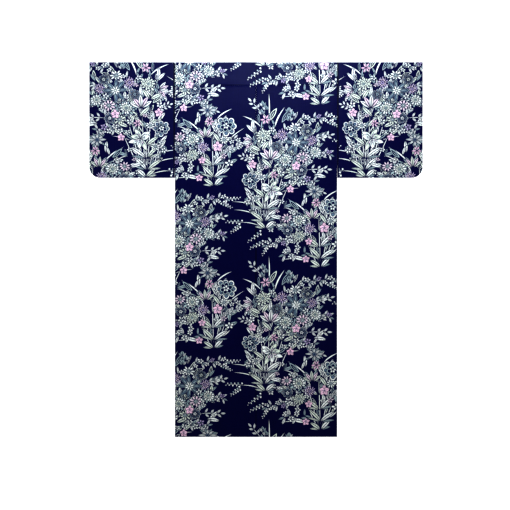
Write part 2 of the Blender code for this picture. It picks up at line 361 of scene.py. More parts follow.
def spray(d, x, y, angle, length, bend, beads=5):
    # Round buds along a thin stem, in turn on each side, smaller towards its tip
    stem(d, x, y, angle, length, bend, 0.22)
    for i in range(2 * beads):
        share = 0.10 + 0.86 * i / (2 * beads)
        px, py, turned = along(x, y, angle, length, bend, share)
        side = 1 if i % 2 else -1
        s = 0.95 * (1.25 - 0.75 * share) * d.vary(0.85, 1.1)
        foot = around(px, py, turned + side * 90, 0.15 * s)
        dye = "mist" if i % 4 == 2 else "white"
        d.mark(*foot, turned + side * d.vary(40, 62), 1.25 * s, s, dye, fade=0.0)


def trail(d, x, y, angle, length, bend, count, r):
    # A twig with a small flower and two leaves at each turn
    stem(d, x, y, angle, length, bend, 0.35)
    for i in range(count):
        px, py, turned = along(x, y, angle, length, bend, (i + 0.5) / count)
        side = 1 if i % 2 else -1
        leaf(d, px, py, turned - side * 65, 2.3 * r, 0.8 * r, "white")
        leaf(d, px, py, turned - side * 20, 2.0 * r, 0.7 * r, "mist", veins=1.0)
        flower = around(px, py, turned + 90, side * 0.6 * r)
        dye = "lavender" if i % 5 == 3 else "white"
        plum(d, *flower, r * d.vary(0.85, 1.1), dye, turn=d.vary(0, 72))


def foliage(d, clumps, size):
    # Leaves that fill a bouquet and fan out from its foot; clumps are x, y, radius, count
    for x, y, r, count in clumps:
        for i in range(count):
            px, py = around(x, y, d.vary(0, 360), r * math.sqrt(d.rng.random()))
            out = math.degrees(math.atan2(py + 6, px * 1.6)) + d.vary(-40, 40)
            s = size * d.vary(0.8, 1.3)
            bend = d.vary(-0.22, 0.22)
            if i % 3 == 1:
                width = d.vary(0.30, 0.38) * s
                hollowLeaf(d, px, py, out, s, width, d.rng.choice(("white", "cream", "mist")), bend)
            else:
                dye = d.rng.choice(("white", "white", "cream", "mist"))
                leaf(d, px, py, out, s, d.vary(0.26, 0.34) * s, dye, bend)


def leafPairs(d, rows):
    # Opposite leaves up the foot of a bouquet; rows are height, leaf length, lean
    for y, s, lean in rows:
        for angle, share, wide, dye, bend in (
            (154, 0.85, 1.2, "cream", 0.22), (26, 0.85, 1.2, "mist", -0.22),
            (126, 1.0, 2.0, "cream", 0.24), (54, 1.0, 2.1, "white", -0.24),
        ):
            leaf(d, d.vary(-0.3, 0.3), y, angle + lean, s * share, wide, dye, bend)


def bigBouquet():
    d = Drawing(3)
    for x, y, angle, length, bend, width in (
        (-1.0, 4.0, 140, 13.5, 0.45, 0.6), (-2.0, 8.0, 142, 13.0, 0.45, 0.6),
        (6.0, 15.0, 30, 9.5, -0.30, 0.5), (8.0, 10.0, -32, 5.5, -0.10, 0.4),
        (-1.0, 0.5, 148, 10.5, 0.40, 0.5), (1.4, 42, 84, 17.0, 0.10, 0.8),
        (4.0, 41, 88, 12.0, -0.42, 1.1), (-1.0, 42, 122, 10.5, 0.50, 1.0),
        (-3.0, 32, 134, 11.5, 0.34, 0.9),
    ):
        blade(d, x, y, angle, length, bend, width)
    spray(d, -8.5, 2.6, 172, 9.0, 0.10)
    spray(d, -9.5, 2.2, 215, 7.0, 0.05)
    trail(d, 1.0, 0.0, 22, 12.0, -0.05, 5, 1.4)
    spray(d, -0.5, -0.5, 222, 9.5, -0.12)
    foliage(d, (
        (-3, 7, 5, 10), (4, 8, 5, 10), (0, 13, 7, 22), (1, 20, 7, 22), (9, 24, 7, 20), (2, 32, 7, 20),
        (14, 31, 8, 24), (10, 40, 7, 18), (-3, 38, 5, 9), (19, 38, 5, 9), (17, 22, 5, 8), (0, 45, 3, 5),
    ), 5.2)
    for angle, length, bend in (
        (122, 20, -0.25), (106, 28, -0.12), (95, 34, -0.03), (84, 30, 0.04), (70, 30, 0.04), (57, 24, 0.10),
    ):
        stem(d, 0, -0.5, angle, length, bend, 0.5, gap=0.7)
    leafPairs(d, ((-0.2, 5.6, 0), (2.6, 8.4, 5), (7.6, 9.0, -5), (13.0, 7.0, 3)))
    trail(d, 14.5, 46.0, 8, 14.5, -0.05, 6, 1.5)
    spray(d, 27.5, 46.7, 10, 8.0, -0.1)
    spray(d, 26.0, 46.1, -24, 6.5, -0.1)
    sprig(d, 19, 38, 8, 8.5, 0.05, 3, 2.7)
    sprig(d, 20, 30, 12, 7.5, 0.1, 3, 2.5)
    trail(d, 19.5, 33.5, -18, 9.0, 0.1, 4, 1.4)
    sprig(d, 17, 25, 4, 9.0, -0.05, 3, 2.8)
    trail(d, 10, 20.5, 2, 11.5, -0.10, 5, 1.6)
    sprig(d, 17, 19, -28, 8.0, 0.05, 4, 2.4)
    sprig(d, -4, 28, 150, 6.0, 0.1, 3, 2.4)
    sprig(d, -1.5, 49, 128, 6.0, 0.05, 2, 2.8)
    pompon(d, 7.2, 40.0, 2.5)
    daisy(d, 12.8, 43.0, 2.8)
    plum(d, 9.9, 42.6, 1.5)
    scallop(d, 18.2, 41.3, 2.5, "olive", "cream")
    pompon(d, 19.8, 37.2, 2.3)
    darkFlower(d, 13.2, 36.6, 4.9)
    plum(d, 17.4, 34.2, 1.6)
    chrysanthemum(d, 21.2, 32.6, 3.4, tilt=-20)
    daisy(d, 16.0, 30.2, 3.1, "blush")
    plum(d, 19.2, 28.6, 1.4)
    chrysanthemum(d, -0.8, 39.4, 3.7, "cream", tilt=15)
    plum(d, 3.4, 42.0, 1.5)
    plum(d, 4.4, 39.0, 1.3, "blush")
    cup(d, -5.0, 37.2, 3.9, 195)
    star(d, 0.2, 46.2, 2.5)
    for x, y in ((-1.2, 48.0), (0.4, 49.9), (-0.8, 51.5)):
        d.mark(x, y, 96, 3.0, 1.6, "mist", pointed=True, veins=1)
        d.mark(x, y, 130, 2.6, 1.2, "white", pointed=True, veins=1)
        d.mark(x, y, 60, 2.6, 1.2, "mist", pointed=True, veins=1)
    for x, y in ((10.4, 45.4), (11.6, 47.4), (10.2, 49.0)):
        d.mark(x, y, 90, 2.8, 2.0, "mist", veins=1)
        d.mark(x, y, 48, 2.6, 1.1, "white", pointed=True, veins=1)
        d.mark(x, y, 132, 2.6, 1.1, "mist", pointed=True, veins=1)
    for x, y, angle, size in (
        (0.6, 20.6, 94, 7.2), (3.2, 25.2, 84, 6.6), (7.4, 21.0, 66, 6.0), (-1.4, 32.6, 102, 6.4),
    ):
        nodeLeaves(d, x, y, angle, size, 2.0)
    chrysanthemum(d, 8.6, 29.2, 3.8, tilt=30)
    daisy(d, 11.4, 24.4, 2.8, "cream")
    cup(d, 2.2, 29.0, 4.8, 86)
    scallop(d, 5.0, 35.0, 2.4, "cream", "mist")
    plum(d, 8.4, 34.0, 1.5)
    scallop(d, 15.6, 24.9, 2.6, "mist")
    bellflower(d, 13.3, 26.6, 2.1)
    plum(d, -5.6, 30.4, 2.0)
    bellflower(d, -5.2, 27.2, 2.0)
    plum(d, -2.4, 25.0, 1.6)
    plum(d, 0.6, 26.0, 1.3, "blush")
    plum(d, 6.9, 23.4, 1.7)
    star(d, 3.8, 22.8, 2.0)
    scallop(d, -6.4, 20.6, 3.7)
    daisy(d, -1.6, 21.8, 2.3, "white")
    bellflower(d, 10.8, 16.8, 1.9)
    plum(d, 8.0, 19.0, 1.5)
    daisy(d, -3.8, 13.0, 2.1)
    plum(d, -7.4, 11.4, 1.6)
    plum(d, -6.4, 14.6, 1.4)
    plum(d, 7.2, 11.6, 1.4)
    lily(d, 2.6, 16.4, 5.0, 80)
    plum(d, -4.4, 8.6, 1.3)
    plum(d, 5.2, 7.5, 1.2, "blush")
    return d.marks


def smallBouquet():
    d = Drawing(5)
    blade(d, -4, 20, 116, 14.0, 0.45, 0.9)
    blade(d, 0.5, 27, 62, 9.5, -0.50, 0.9)
    blade(d, 3.0, 14, 70, 15.0, -0.50, 0.7)
    blade(d, -8, 22, 142, 9.0, 0.3, 0.5)
    blade(d, -4, 2, 156, 14.0, 0.40, 0.5)
    foliage(d, (
        (-3, 6, 5, 12), (3, 7, 4, 8), (-3, 12, 6, 18), (-9, 15, 6, 16), (0, 19, 6, 15),
        (-5, 23, 5, 10), (4, 23, 4, 7), (4, 12, 4, 8), (-13, 18, 4, 7),
    ), 5.0)
    for angle, length, bend in (
        (126, 15, -0.2), (108, 24, -0.04), (92, 25, 0.0), (76, 22, 0.05), (62, 14, 0.1),
    ):
        stem(d, 0, -0.5, angle, length, bend, 0.5, gap=0.7)
    leafPairs(d, ((-0.2, 5.8, 6), (3.0, 8.2, -5), (8.2, 7.6, 4)))
    for x, y, angle, size in ((-0.8, 14.5, 100, 6.6), (2.8, 18.0, 76, 6.0)):
        nodeLeaves(d, x, y, angle, size, 1.9)
    trail(d, 7.0, 20.0, -22, 8.5, -0.1, 4, 1.5)
    spray(d, 13.5, 16.4, -38, 5.5, -0.1, 4)
    sprig(d, 4.5, 14.5, 18, 6.0, 0.1, 3, 2.4)
    trail(d, -8.0, 12.0, 186, 16.0, 0.05, 7, 1.5)
    spray(d, -23.0, 11.0, 200, 8.5, 0.08)
    spray(d, -21.0, 10.6, 232, 7.5, 0.08)
    trail(d, -9.0, 5.5, 174, 7.0, 0.1, 3, 1.8)
    plum(d, -14.5, 7.0, 1.7)
    chrysanthemum(d, -9.2, 19.6, 4.0, tilt=20)
    daisy(d, -14.2, 20.8, 2.7, "blush")
    plum(d, -12.2, 23.4, 1.6)
    scallop(d, -14.0, 15.6, 2.6, "mist")
    pompon(d, -4.4, 16.4, 2.3)
    chrysanthemum(d, -9.2, 13.0, 3.1, "cream")
    plum(d, -13.2, 11.0, 1.7)
    plum(d, -5.8, 14.0, 1.4)
    bellflower(d, -5.0, 10.8, 1.8)
    scallop(d, 5.2, 25.4, 4.5, "mist")
    plum(d, 0.8, 24.0, 1.5)
    cup(d, -3.4, 20.2, 4.0, 96, "cream")
    star(d, -1.8, 27.4, 2.4)
    spikyStar(d, -2.6, 32.0, 4.5)
    bellflower(d, 1.6, 16.6, 2.4)
    daisy(d, 4.4, 19.6, 2.2)
    plum(d, 6.6, 9.6, 2.2)
    plum(d, 4.2, 12.6, 1.5, "blush")
    plum(d, 1.0, 12.2, 1.4)
    bellflower(d, -6.2, 3.4, 1.8)
    plum(d, -9.6, 8.4, 1.6)
    return d.marks


# Where the bouquets stand on the cloth, in metres: a half-drop repeat of one big and one small bouquet

printValues = {
    "centimetre": 0.01,
    "repeat": 0.689,
    "column": 0.4525,
    "smallShift": (-0.217, -0.507),
    "bodyStart": (0.038, -0.019),
    "sleeveStart": (0.4645, -0.488),
    "reach": (0.42, 0.62),
}


def mirrored(marks):
    return [{**m, "x": -m["x"], "angle": 180 - m["angle"], "bend": -m["bend"]} for m in marks]


bouquets = {"big": bigBouquet(), "small": smallBouquet()}
print("bouquets drawn:", {name: len(marks) for name, marks in bouquets.items()})


def layPrint(outline, start, flip=False):
    # Every mark of the repeat that may reach the outline, in metres on the cloth's plane
    low, high = np.min(outline, axis=0), np.max(outline, axis=0)
    side = -1 if flip else 1
    centre = side * (low[0] + high[0]) / 2
    columns = math.ceil((high[0] - low[0]) / 2 / printValues["column"]) + 2
    nearest = round((centre - start[0]) / printValues["column"])
    placed = []
    for column in range(nearest - columns, nearest + columns + 1):
        x = start[0] + column * printValues["column"]
        y = start[1] - (column % 2) * printValues["repeat"] / 2
        first = math.floor((low[1] - y) / printValues["repeat"]) - 1
        last = math.ceil((high[1] - y) / printValues["repeat"]) + 1
        for row in range(last, first - 1, -1):
            foot = y + row * printValues["repeat"]
            placed.append(("big", x, foot))
            shift = printValues["smallShift"]
            placed.append(("small", x + shift[0], foot + shift[1]))
    unit = printValues["centimetre"]
    laid = []
    for name, x, y in placed:
        if abs(x - centre) > (high[0] - low[0]) / 2 + printValues["reach"][0]:
            continue
        if not low[1] - printValues["reach"][1] < y < high[1] + printValues["reach"][0]:
            continue
        for m in mirrored(bouquets[name]) if flip else bouquets[name]:
            laid.append({
                **m, "x": side * x + m["x"] * unit, "y": y + m["y"] * unit,
                "length": m["length"] * unit, "width": m["width"] * unit,
            })
    return laid


def seamShadeMark(start, end, width, tone):
    # Painted shade: the dark line of shade along a sewn or pressed fold, drawn in the print as a long thin
    # oval
    across, up = end[0] - start[0], end[1] - start[1]
    return {
        "x": start[0], "y": start[1], "angle": math.degrees(math.atan2(up, across)),
        "length": math.hypot(across, up), "width": width, "dye": "navy", "tone": tone,
        "pointed": False, "bend": 0.0, "veins": 0.0, "fade": 0.0,
    }


# From marks to faces of the cloth

printMesh = {
    "smallMark": 0.008,
    "bigMark": 0.03,
    "bowedMark": 0.006,
    "tipSlow": 0.06,
    "pixel": 0.001,
    "leastPixels": 5,
    "straight": 0.00004,
    "tolerance": 1e-7,
    "outlineBand": 0.0027,
    "outlineShare": 0.21,
}


def markOutline(m):
    # The mark's edge as points, with the counts that its size asks for
    size = max(m["length"], m["width"])
    if m["pointed"]:
        bowed = abs(m["bend"]) * m["length"] > printMesh["bowedMark"]
        count = 2 + (size > printMesh["smallMark"] * 2) + (size > printMesh["bigMark"]) + 3 * bowed
        v = np.linspace(0, 1, count + 2)
        v = v - printMesh["tipSlow"] * np.sin(2 * np.pi * v)
        u = 1 - (2 * v - 1) ** 2
        v = np.concatenate([v, v[-2:0:-1]])
        u = np.concatenate([u, -u[-2:0:-1]])
    else:
        count = 6 + 2 * (size > printMesh["smallMark"]) + 2 * (size > printMesh["bigMark"])
        turn = np.arange(count) * 2 * math.pi / count
        v = 0.5 + 0.5 * np.cos(turn)
        u = np.sin(turn)
    a = math.radians(m["angle"])
    forward = v * m["length"]
    sideways = u * m["width"] / 2 + m["bend"] * v * v * m["length"]
    x = m["x"] + forward * math.cos(a) - sideways * math.sin(a)
    y = m["y"] + forward * math.sin(a) + sideways * math.cos(a)
    return np.stack([x, y], axis=1)


def insideShape(x, y, shape):
    # Whether points lie inside a polygon, by counting crossings
    inside = np.zeros(x.shape, bool)
    for (ax, ay), (bx, by) in zip(shape, np.roll(shape, -1, axis=0)):
        crosses = (ay > y) != (by > y)
        inside ^= crosses & (x < ax + (bx - ax) * (y - ay) / (by - ay if by != ay else 1))
    return inside


def showingMarks(marks, outline):
    # Paints the marks' numbers on a raster in their order, and keeps those of which something shows
    low, high = np.min(outline, axis=0), np.max(outline, axis=0)
    pixel = printMesh["pixel"]
    wide, tall = (np.ceil((high - low) / pixel)).astype(int)
    across = low[0] + (np.arange(wide) + 0.5) * pixel
    up = low[1] + (np.arange(tall) + 0.5) * pixel
    top = np.full((tall, wide), -1)
    shapes = [markOutline(m) for m in marks]
    for number, shape in enumerate(shapes):
        x0, y0 = np.floor((shape.min(axis=0) - low) / pixel).astype(int).clip(0)
        x1, y1 = np.ceil((shape.max(axis=0) - low) / pixel).astype(int).clip(0, (wide, tall))
        if x1 <= x0 or y1 <= y0:
            continue
        top[y0:y1, x0:x1][insideShape(*np.meshgrid(across[x0:x1], up[y0:y1]), shape)] = number
    top[~insideShape(*np.meshgrid(across, up), outline)] = -1
    numbers, counts = np.unique(top, return_counts=True)
    keep = [n for n, c in zip(numbers, counts) if n >= 0 and c >= printMesh["leastPixels"]]
    return [marks[n] for n in keep], [shapes[n] for n in keep]


def cutPlane(outline, shapes, points, lines):
    # Cuts the outline's inside into triangles along the shapes and lines. covers lists each triangle
    # with each shape over it, and first is the given point that a corner comes from.
    # The cut is made about the outline's middle, where it is fastest.
    corners, faces, edges = [], [], []
    middle = np.mean(outline, axis=0)
    for shape in [np.asarray(outline)] + shapes:
        turned = np.roll(shape, -1, axis=0)
        if np.sum(shape[:, 0] * turned[:, 1] - turned[:, 0] * shape[:, 1]) < 0:
            shape = shape[::-1]
        faces.append(list(range(len(corners), len(corners) + len(shape))))
        corners.extend(shape.tolist())
    for line in lines:
        edges.extend((len(corners) + i, len(corners) + i + 1) for i in range(len(line) - 1))
        corners.extend(line)
    corners.extend(list(points))
    corners = [Vector(c) for c in (np.array(corners) - middle).tolist()]
    found = delaunay_2d_cdt(corners, edges, faces, 0, printMesh["tolerance"], True)
    places, triangles, owners, origins = found[0], found[2], found[5], found[3]
    kept = [(t, o) for t, o in zip(triangles, owners) if 0 in o]
    used = sorted({c for t, o in kept for c in t})
    number = {old: new for new, old in enumerate(used)}
    plane = np.array([places[c][:] for c in used], float) + middle
    faces = np.array([[number[c] for c in t] for t, o in kept])
    first = [min(origins[c]) if origins[c] else -1 for c in used]
    covers = np.array([(i, n - 1) for i, (t, o) in enumerate(kept) for n in o if n > 0]).reshape(-1, 2)
    return {"plane": plane, "faces": faces, "covers": covers, "first": first}


def inMarks(x, y, own, table):
    # A place's coordinates in its mark: sideways in half widths, forward in lengths, and the mark's bow
    dx, dy = x - table["x"][own], y - table["y"][own]
    cosine, sine = np.cos(table["turn"][own]), np.sin(table["turn"][own])
    halfWidth = table["width"][own] / 2
    forward = (dx * cosine + dy * sine) / table["length"][own]
    sideways = (dy * cosine - dx * sine) / halfWidth
    return sideways, forward, table["bend"][own] * table["length"][own] / halfWidth


def markTable(marks):
    # The marks' values as columns, with bare cloth as the last row
    bare = {
        "x": 0, "y": 0, "angle": 0, "length": 1, "width": 1, "bend": 0, "veins": 0, "fade": 0,
        "tone": 1, "pointed": False,
    }
    table = {key: np.array([m[key] for m in marks] + [value], float) for key, value in bare.items()}
    table["turn"] = np.radians(table["angle"])
    table["dye"] = np.array([dyes[m["dye"]] for m in marks] + [dyes["navy"]])
    table["power"] = np.where(table["pointed"] > 0, 1.0, 2.0)
    return table


def topMarks(plane, faces, covers, table):
    # Each triangle's last mark, or -1 where the cloth is bare
    top = np.full(len(faces), -1)
    if len(covers):
        middle = plane[faces].mean(axis=1)[covers[:, 0]]
        own = covers[:, 1]
        sideways, forward, bow = inMarks(middle[:, 0], middle[:, 1], own, table)
        spread = np.abs(sideways - bow * forward**2) ** table["power"][own] + (2 * forward - 1) ** 2
        real = spread < 1.3
        np.maximum.at(top, covers[real, 0], own[real])
    return top


def showingEdges(plane, faces, owners, loop):
    # The edges where the top mark changes, with straight runs joined, and the rim's corners that stay
    edges = np.concatenate([faces[:, [0, 1]], faces[:, [1, 2]], faces[:, [2, 0]]])
    key = np.sort(edges, axis=1)
    order = np.lexsort((key[:, 1], key[:, 0]))
    key, own = key[order], np.tile(owners, 3)[order]
    changes = (key[1:] == key[:-1]).all(axis=1) & (own[1:] != own[:-1])
    beside = {}
    for a, b in key[:-1][changes].tolist() + list(zip(loop, loop[1:] + loop[:1])):
        beside.setdefault(a, set()).add(b)
        beside.setdefault(b, set()).add(a)
    place = plane.tolist()
    for corner in list(beside):
        if len(beside[corner]) != 2:
            continue
        a, b = beside[corner]
        (x, y), (ax, ay), (bx, by) = place[corner], place[a], place[b]
        length = math.hypot(bx - ax, by - ay)
        forward = ((x - ax) * (bx - ax) + (y - ay) * (by - ay)) / max(length * length, 1e-12)
        away = abs((x - ax) * (by - ay) - (y - ay) * (bx - ax)) / max(length, 1e-9)
        if away < printMesh["straight"] and 0 < forward < 1 and b not in beside[a]:
            beside[a].symmetric_difference_update((corner, b))
            beside[b].symmetric_difference_update((corner, a))
            del beside[corner]
    return [(a, b) for a in beside for b in beside[a] if a < b], [c for c in loop if c in beside]


def cutCloth(outline, shapes, points, lines, table):
    # Cuts once along every mark, then again along only those edges that show
    cut = cutPlane(outline, shapes, [], [])
    plane, faces = cut["plane"], cut["faces"]
    owners = topMarks(plane, faces, cut["covers"], table)
    edges, rim = showingEdges(plane, faces, owners, rimLoop(faces))
    cuts = [[tuple(plane[a]), tuple(plane[b])] for a, b in edges]
    tree = BVHTree.FromPolygons([(x, y, 0.0) for x, y in plane.tolist()], faces.tolist())
    cut = cutPlane(plane[rim], [], points, lines + cuts)
    plane, faces = cut["plane"], cut["faces"]
    middles = plane[faces].mean(axis=1).tolist()
    under = [tree.find_nearest(Vector((x, y, 0.0)))[2] for x, y in middles]
    return plane, faces, owners[under]


def rimLoop(faces):
    # The outline's corners in order, from the edges that only one triangle has
    edges = np.concatenate([faces[:, [0, 1]], faces[:, [1, 2]], faces[:, [2, 0]]])
    single = {}
    known = set(map(tuple, edges.tolist()))
    for a, b in edges.tolist():
        if (b, a) not in known:
            single[a] = b
    loop = [next(iter(single))]
    while single[loop[-1]] != loop[0]:
        loop.append(single[loop[-1]])
    if len(loop) != len(single):
        raise ValueError("a cloth's outline isn't one loop")
    return loop


def gridInside(outline, step, margin):
    low, high = np.min(outline, axis=0), np.max(outline, axis=0)
    counts = np.maximum(2, np.round((high - low) / step).astype(int))
    x, y = np.meshgrid(
        np.linspace(low[0] + margin, high[0] - margin, counts[0]),
        np.linspace(low[1] + margin, high[1] - margin, counts[1]),
    )
    inside = insideShape(x, y, outline)
    for shift in ((margin, 0), (-margin, 0), (0, margin), (0, -margin)):
        inside &= insideShape(x + shift[0], y + shift[1], outline)
    return np.stack([x[inside], y[inside]], axis=1)


def dyeCorners(plane, faces, owners, table):
    # What the material reads at each corner: the place in its mark, how the mark is drawn, and its dye
    own = owners[:, None] * np.ones(3, int)
    sideways, forward, bow = inMarks(plane[faces][..., 0], plane[faces][..., 1], own, table)
    small = np.minimum(table["length"], table["width"])
    share = 2 * np.minimum(printMesh["outlineBand"], printMesh["outlineShare"] * small) / small
    line = np.where(table["pointed"] > 0, share, 1 - (1 - share) ** 2)
    line[-1] = 0
    bare = own < 0
    forward[bare], sideways[bare], bow[bare] = 0.5, 0.0, 0.0
    petal = np.stack([sideways, forward, bow], axis=2)
    ink = np.stack([line[own], table["veins"][own], table["fade"][own]], axis=2)
    colour = table["dye"] * table["tone"][:, None]
    dye = np.concatenate([colour[own], table["power"][own][..., None]], axis=2)
    return petal.reshape(-1, 3), ink.reshape(-1, 3), dye.reshape(-1, 4)


# What the inner faces read: bare cloth, a little paler than the printed face
plainCorner = {"petal": (0.0, 0.5, 0.0), "ink": (0.0, 0.0, 0.0), "dye": (*(navyRgb * 1.2), 2.0)}


shellValues = {"outsideMargin": 0.004, "insideMargin": 0.006, "sharpAngle": 50}


def clothShell(name, outline, place, values, start, flip=False, lines=(), extra=(), under=(), over=()):
    # A closed thin shell of printed cloth. place(x, y, inset) puts a point of the plane on the garment.
    # values give the thickness and the steps of the outer and inner faces. under and over are marks
    # below and above the print.
    thickness = values["thickness"]
    outline = np.array(outline, float)
    marks, shapes = showingMarks([*under, *layPrint(outline, start, flip), *over], outline)
    fine = gridInside(outline, values["outside"], shellValues["outsideMargin"])
    points = np.concatenate([fine, *[np.asarray(e) for e in extra]])
    table = markTable(marks)
    plane, faces, owners = cutCloth(outline, shapes, points, [list(map(tuple, l)) for l in lines], table)
    loop = rimLoop(faces)
    rim = plane[loop]
    coarse = gridInside(outline, values["inside"], shellValues["insideMargin"])
    within = [np.asarray(l)[1:-1] for l in lines]
    cut = cutPlane(rim, [], np.concatenate([coarse, *within, *map(np.asarray, extra)]), [])
    inner, innerFaces = cut["plane"], cut["faces"]
    outerCount = len(plane)
    corners = np.concatenate([
        place(plane[:, 0], plane[:, 1], 0.0), place(inner[:, 0], inner[:, 1], thickness),
    ])
    innerRim = [0] * len(loop)
    for number, source in enumerate(cut["first"]):
        if 0 <= source < len(loop):
            innerRim[source] = outerCount + number
    walls = []
    for i in range(len(loop)):
        j = (i + 1) % len(loop)
        walls.append([loop[j], loop[i], innerRim[i], innerRim[j]])
    allFaces = faces.tolist() + (innerFaces[:, ::-1] + outerCount).tolist() + walls
    mesh = bpy.data.meshes.new(name)
    mesh.from_pydata(corners.tolist(), [], allFaces)
    petal, ink, dye = dyeCorners(plane, faces, owners, table)
    plainCount = 3 * len(innerFaces) + 4 * len(walls)
    for key, values, kind, field in (
        ("petal", petal, "FLOAT_VECTOR", "vector"), ("ink", ink, "FLOAT_VECTOR", "vector"),
        ("dye", dye, "FLOAT_COLOR", "color"),
    ):
        plain = np.tile(plainCorner[key], (plainCount, 1))
        layer = mesh.attributes.new(key, kind, "CORNER")
        layer.data.foreach_set(field, np.concatenate([values, plain]).astype(np.float32).ravel())
    bakeMap(mesh, plane, faces, inner, innerFaces, walls)
    mesh.shade_smooth()
    mesh.set_sharp_from_angle(angle=math.radians(shellValues["sharpAngle"]))
    piece = bpy.data.objects.new(name, mesh)
    bpy.context.scene.collection.objects.link(piece)
    print(name, "marks", len(marks), "triangles", len(faces) + len(innerFaces) + 2 * len(walls))
    return piece


# In widths of the cloth: the whole map, where the second half and the inner faces start
bakeValues = {
    "across": 2.6,
    "second": 1.03,
    "inner": 2.08,
    "innerScale": 0.25,
    "border": 1.02,
    "rim": (0.98, 0.01),
}


def bakeMap(mesh, plane, faces, inner, innerFaces, walls):
    # Fronts and backs side by side, the inner faces smaller beside them, the rim in a thin strip
    low, high = plane.min(axis=0), plane.max(axis=0)
    wide = high[0] - low[0]
    tall = max(high[1], -low[1])
    size = max(bakeValues["across"] * wide, tall) * bakeValues["border"]

    def unfolded(points, triangles, left, scale):
        centre = points[triangles][..., 1].mean(axis=1)[:, None]
        x = (points[triangles][..., 0] - low[0]) * scale + left
        y = np.abs(points[triangles][..., 1]) * scale
        x = x + np.where(centre > 0, wide * scale * bakeValues["second"], 0.0)
        return np.stack([x, y], axis=2).reshape(-1, 2)

    outer = unfolded(plane, faces, 0.0, 1.0)
    inside = unfolded(inner, innerFaces[:, ::-1], bakeValues["inner"] * wide, bakeValues["innerScale"])
    rimLeft, rimWide = bakeValues["rim"]
    strip = np.zeros((len(walls), 4, 2))
    strip[:, :, 1] = (np.arange(len(walls)) / len(walls))[:, None] + np.array([1, 0, 0, 1]) / len(walls)
    strip[:, :, 0] = np.array([0, 0, 1, 1]) * rimWide + rimLeft
    uv = np.concatenate([outer / size, inside / size, strip.reshape(-1, 2)])
    layer = mesh.uv_layers.new(name="OFBake")
    layer.data.foreach_set("uv", uv.astype(np.float32).ravel())


# How high the frame's cloths lie

rayValues = {"cell": 0.008, "margin": 0.03, "passes": 3}


def heightsOf(node, fromAbove):
    # The node's face as rays from above or below find it, softened, as a function of x and y
    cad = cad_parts[node].data
    tree = BVHTree.FromPolygons([v.co[:] for v in cad.vertices], [list(p.vertices) for p in cad.polygons])
    low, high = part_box(node)
    cell, margin = rayValues["cell"], rayValues["margin"]
    xs = np.arange(low.x - margin, high.x + margin, cell)
    ys = np.arange(low.y - margin, high.y + margin, cell)
    start, way = (0.1, -1) if fromAbove else (-0.1, 1)
    field = np.full((len(ys), len(xs)), np.nan)
    for i, y in enumerate(ys):
        for j, x in enumerate(xs):
            hit = tree.ray_cast(Vector((x, y, start)), Vector((0, 0, way)))[0]
            if hit is not None:
                field[i, j] = hit.z
    field = spreadOut(field, max(field.shape))
    for i in range(rayValues["passes"]):
        padded = np.pad(field, 1, mode="edge")
        field = sum(
            padded[1 + a : padded.shape[0] - 1 + a, 1 + b : padded.shape[1] - 1 + b]
            for a in (-1, 0, 1) for b in (-1, 0, 1)
        ) / 9

    def height(x, y):
        across = np.clip((x - xs[0]) / cell, 0, len(xs) - 1.001)
        up = np.clip((y - ys[0]) / cell, 0, len(ys) - 1.001)
        i, j = up.astype(int), across.astype(int)
        a, b = up - i, across - j
        lower = field[i, j] * (1 - b) + field[i, j + 1] * b
        upper = field[i + 1, j] * (1 - b) + field[i + 1, j + 1] * b
        return lower * (1 - a) + upper * a

    return height


def spreadOut(field, most):
    # Fills the cells that no ray hit from their neighbours
    for i in range(most):
        empty = np.isnan(field)
        if not empty.any():
            break
        padded = np.pad(field, 1, constant_values=np.nan)
        stack = np.array([
            padded[1 + a : padded.shape[0] - 1 + a, 1 + b : padded.shape[1] - 1 + b]
            for a, b in ((-1, 0), (1, 0), (0, -1), (0, 1))
        ])
        known = ~np.isnan(stack)
        total = np.where(known, stack, 0).sum(axis=0)
        count = known.sum(axis=0)
        field = np.where(empty & (count > 0), total / np.maximum(count, 1), field)
    return field


# Creases: soft ridges that the upper cloths share, and the lower ones follow less

# x, drop of both ends, half width and height, all in metres, for the right side
underarmCreases = [
    (0.343, 0.252, 0.318, 0.345, 0.010, 0.0030),
    (0.345, 0.430, 0.268, 0.372, 0.013, 0.0034),
    (0.340, 0.470, 0.285, 0.450, 0.012, 0.0022),
]
pressCreases = [
    (0.190, 0.030, 0.176, 0.420, 0.022, 0.0010),
    (0.118, 0.560, 0.140, 1.100, 0.026, 0.0011),
    (0.252, 0.700, 0.226, 1.500, 0.024, 0.0009),
    (0.060, 1.050, 0.040, 1.560, 0.020, 0.0008),
    (0.310, 0.880, 0.070, 0.930, 0.020, 0.0009),
    (0.330, 1.210, 0.090, 1.250, 0.024, 0.0008),
]
sleeveCreases = [
    (0.365, 0.180, 0.520, 0.120, 0.016, 0.0012),
    (0.360, 0.330, 0.560, 0.400, 0.020, 0.0014),
    (0.690, 0.060, 0.640, 0.300, 0.018, 0.0010),
    (0.450, 0.460, 0.620, 0.440, 0.014, 0.0011),
]
# The width and tone of each seam's painted shade line
seamShadeValues = {"tuck": (0.0050, 0.25), "back": (0.0075, 0.30), "arm": (0.0120, 0.30)}
creaseValues = {
    "grooveDepth": 0.0007,
    "grooveWidth": 0.003,
    "leftShare": 0.55,
    "leftSlip": 0.012,
    "insideShare": 0.5,
    "tuckDrop": 0.098,
    "tuckRise": 0.0008,
    "tuckRamp": (0.070, 0.088),
    "tuckEdge": 0.0015,
    "seamRise": 0.0004,
    "seamWidth": 0.009,
    "seamLeft": 0.004,
}


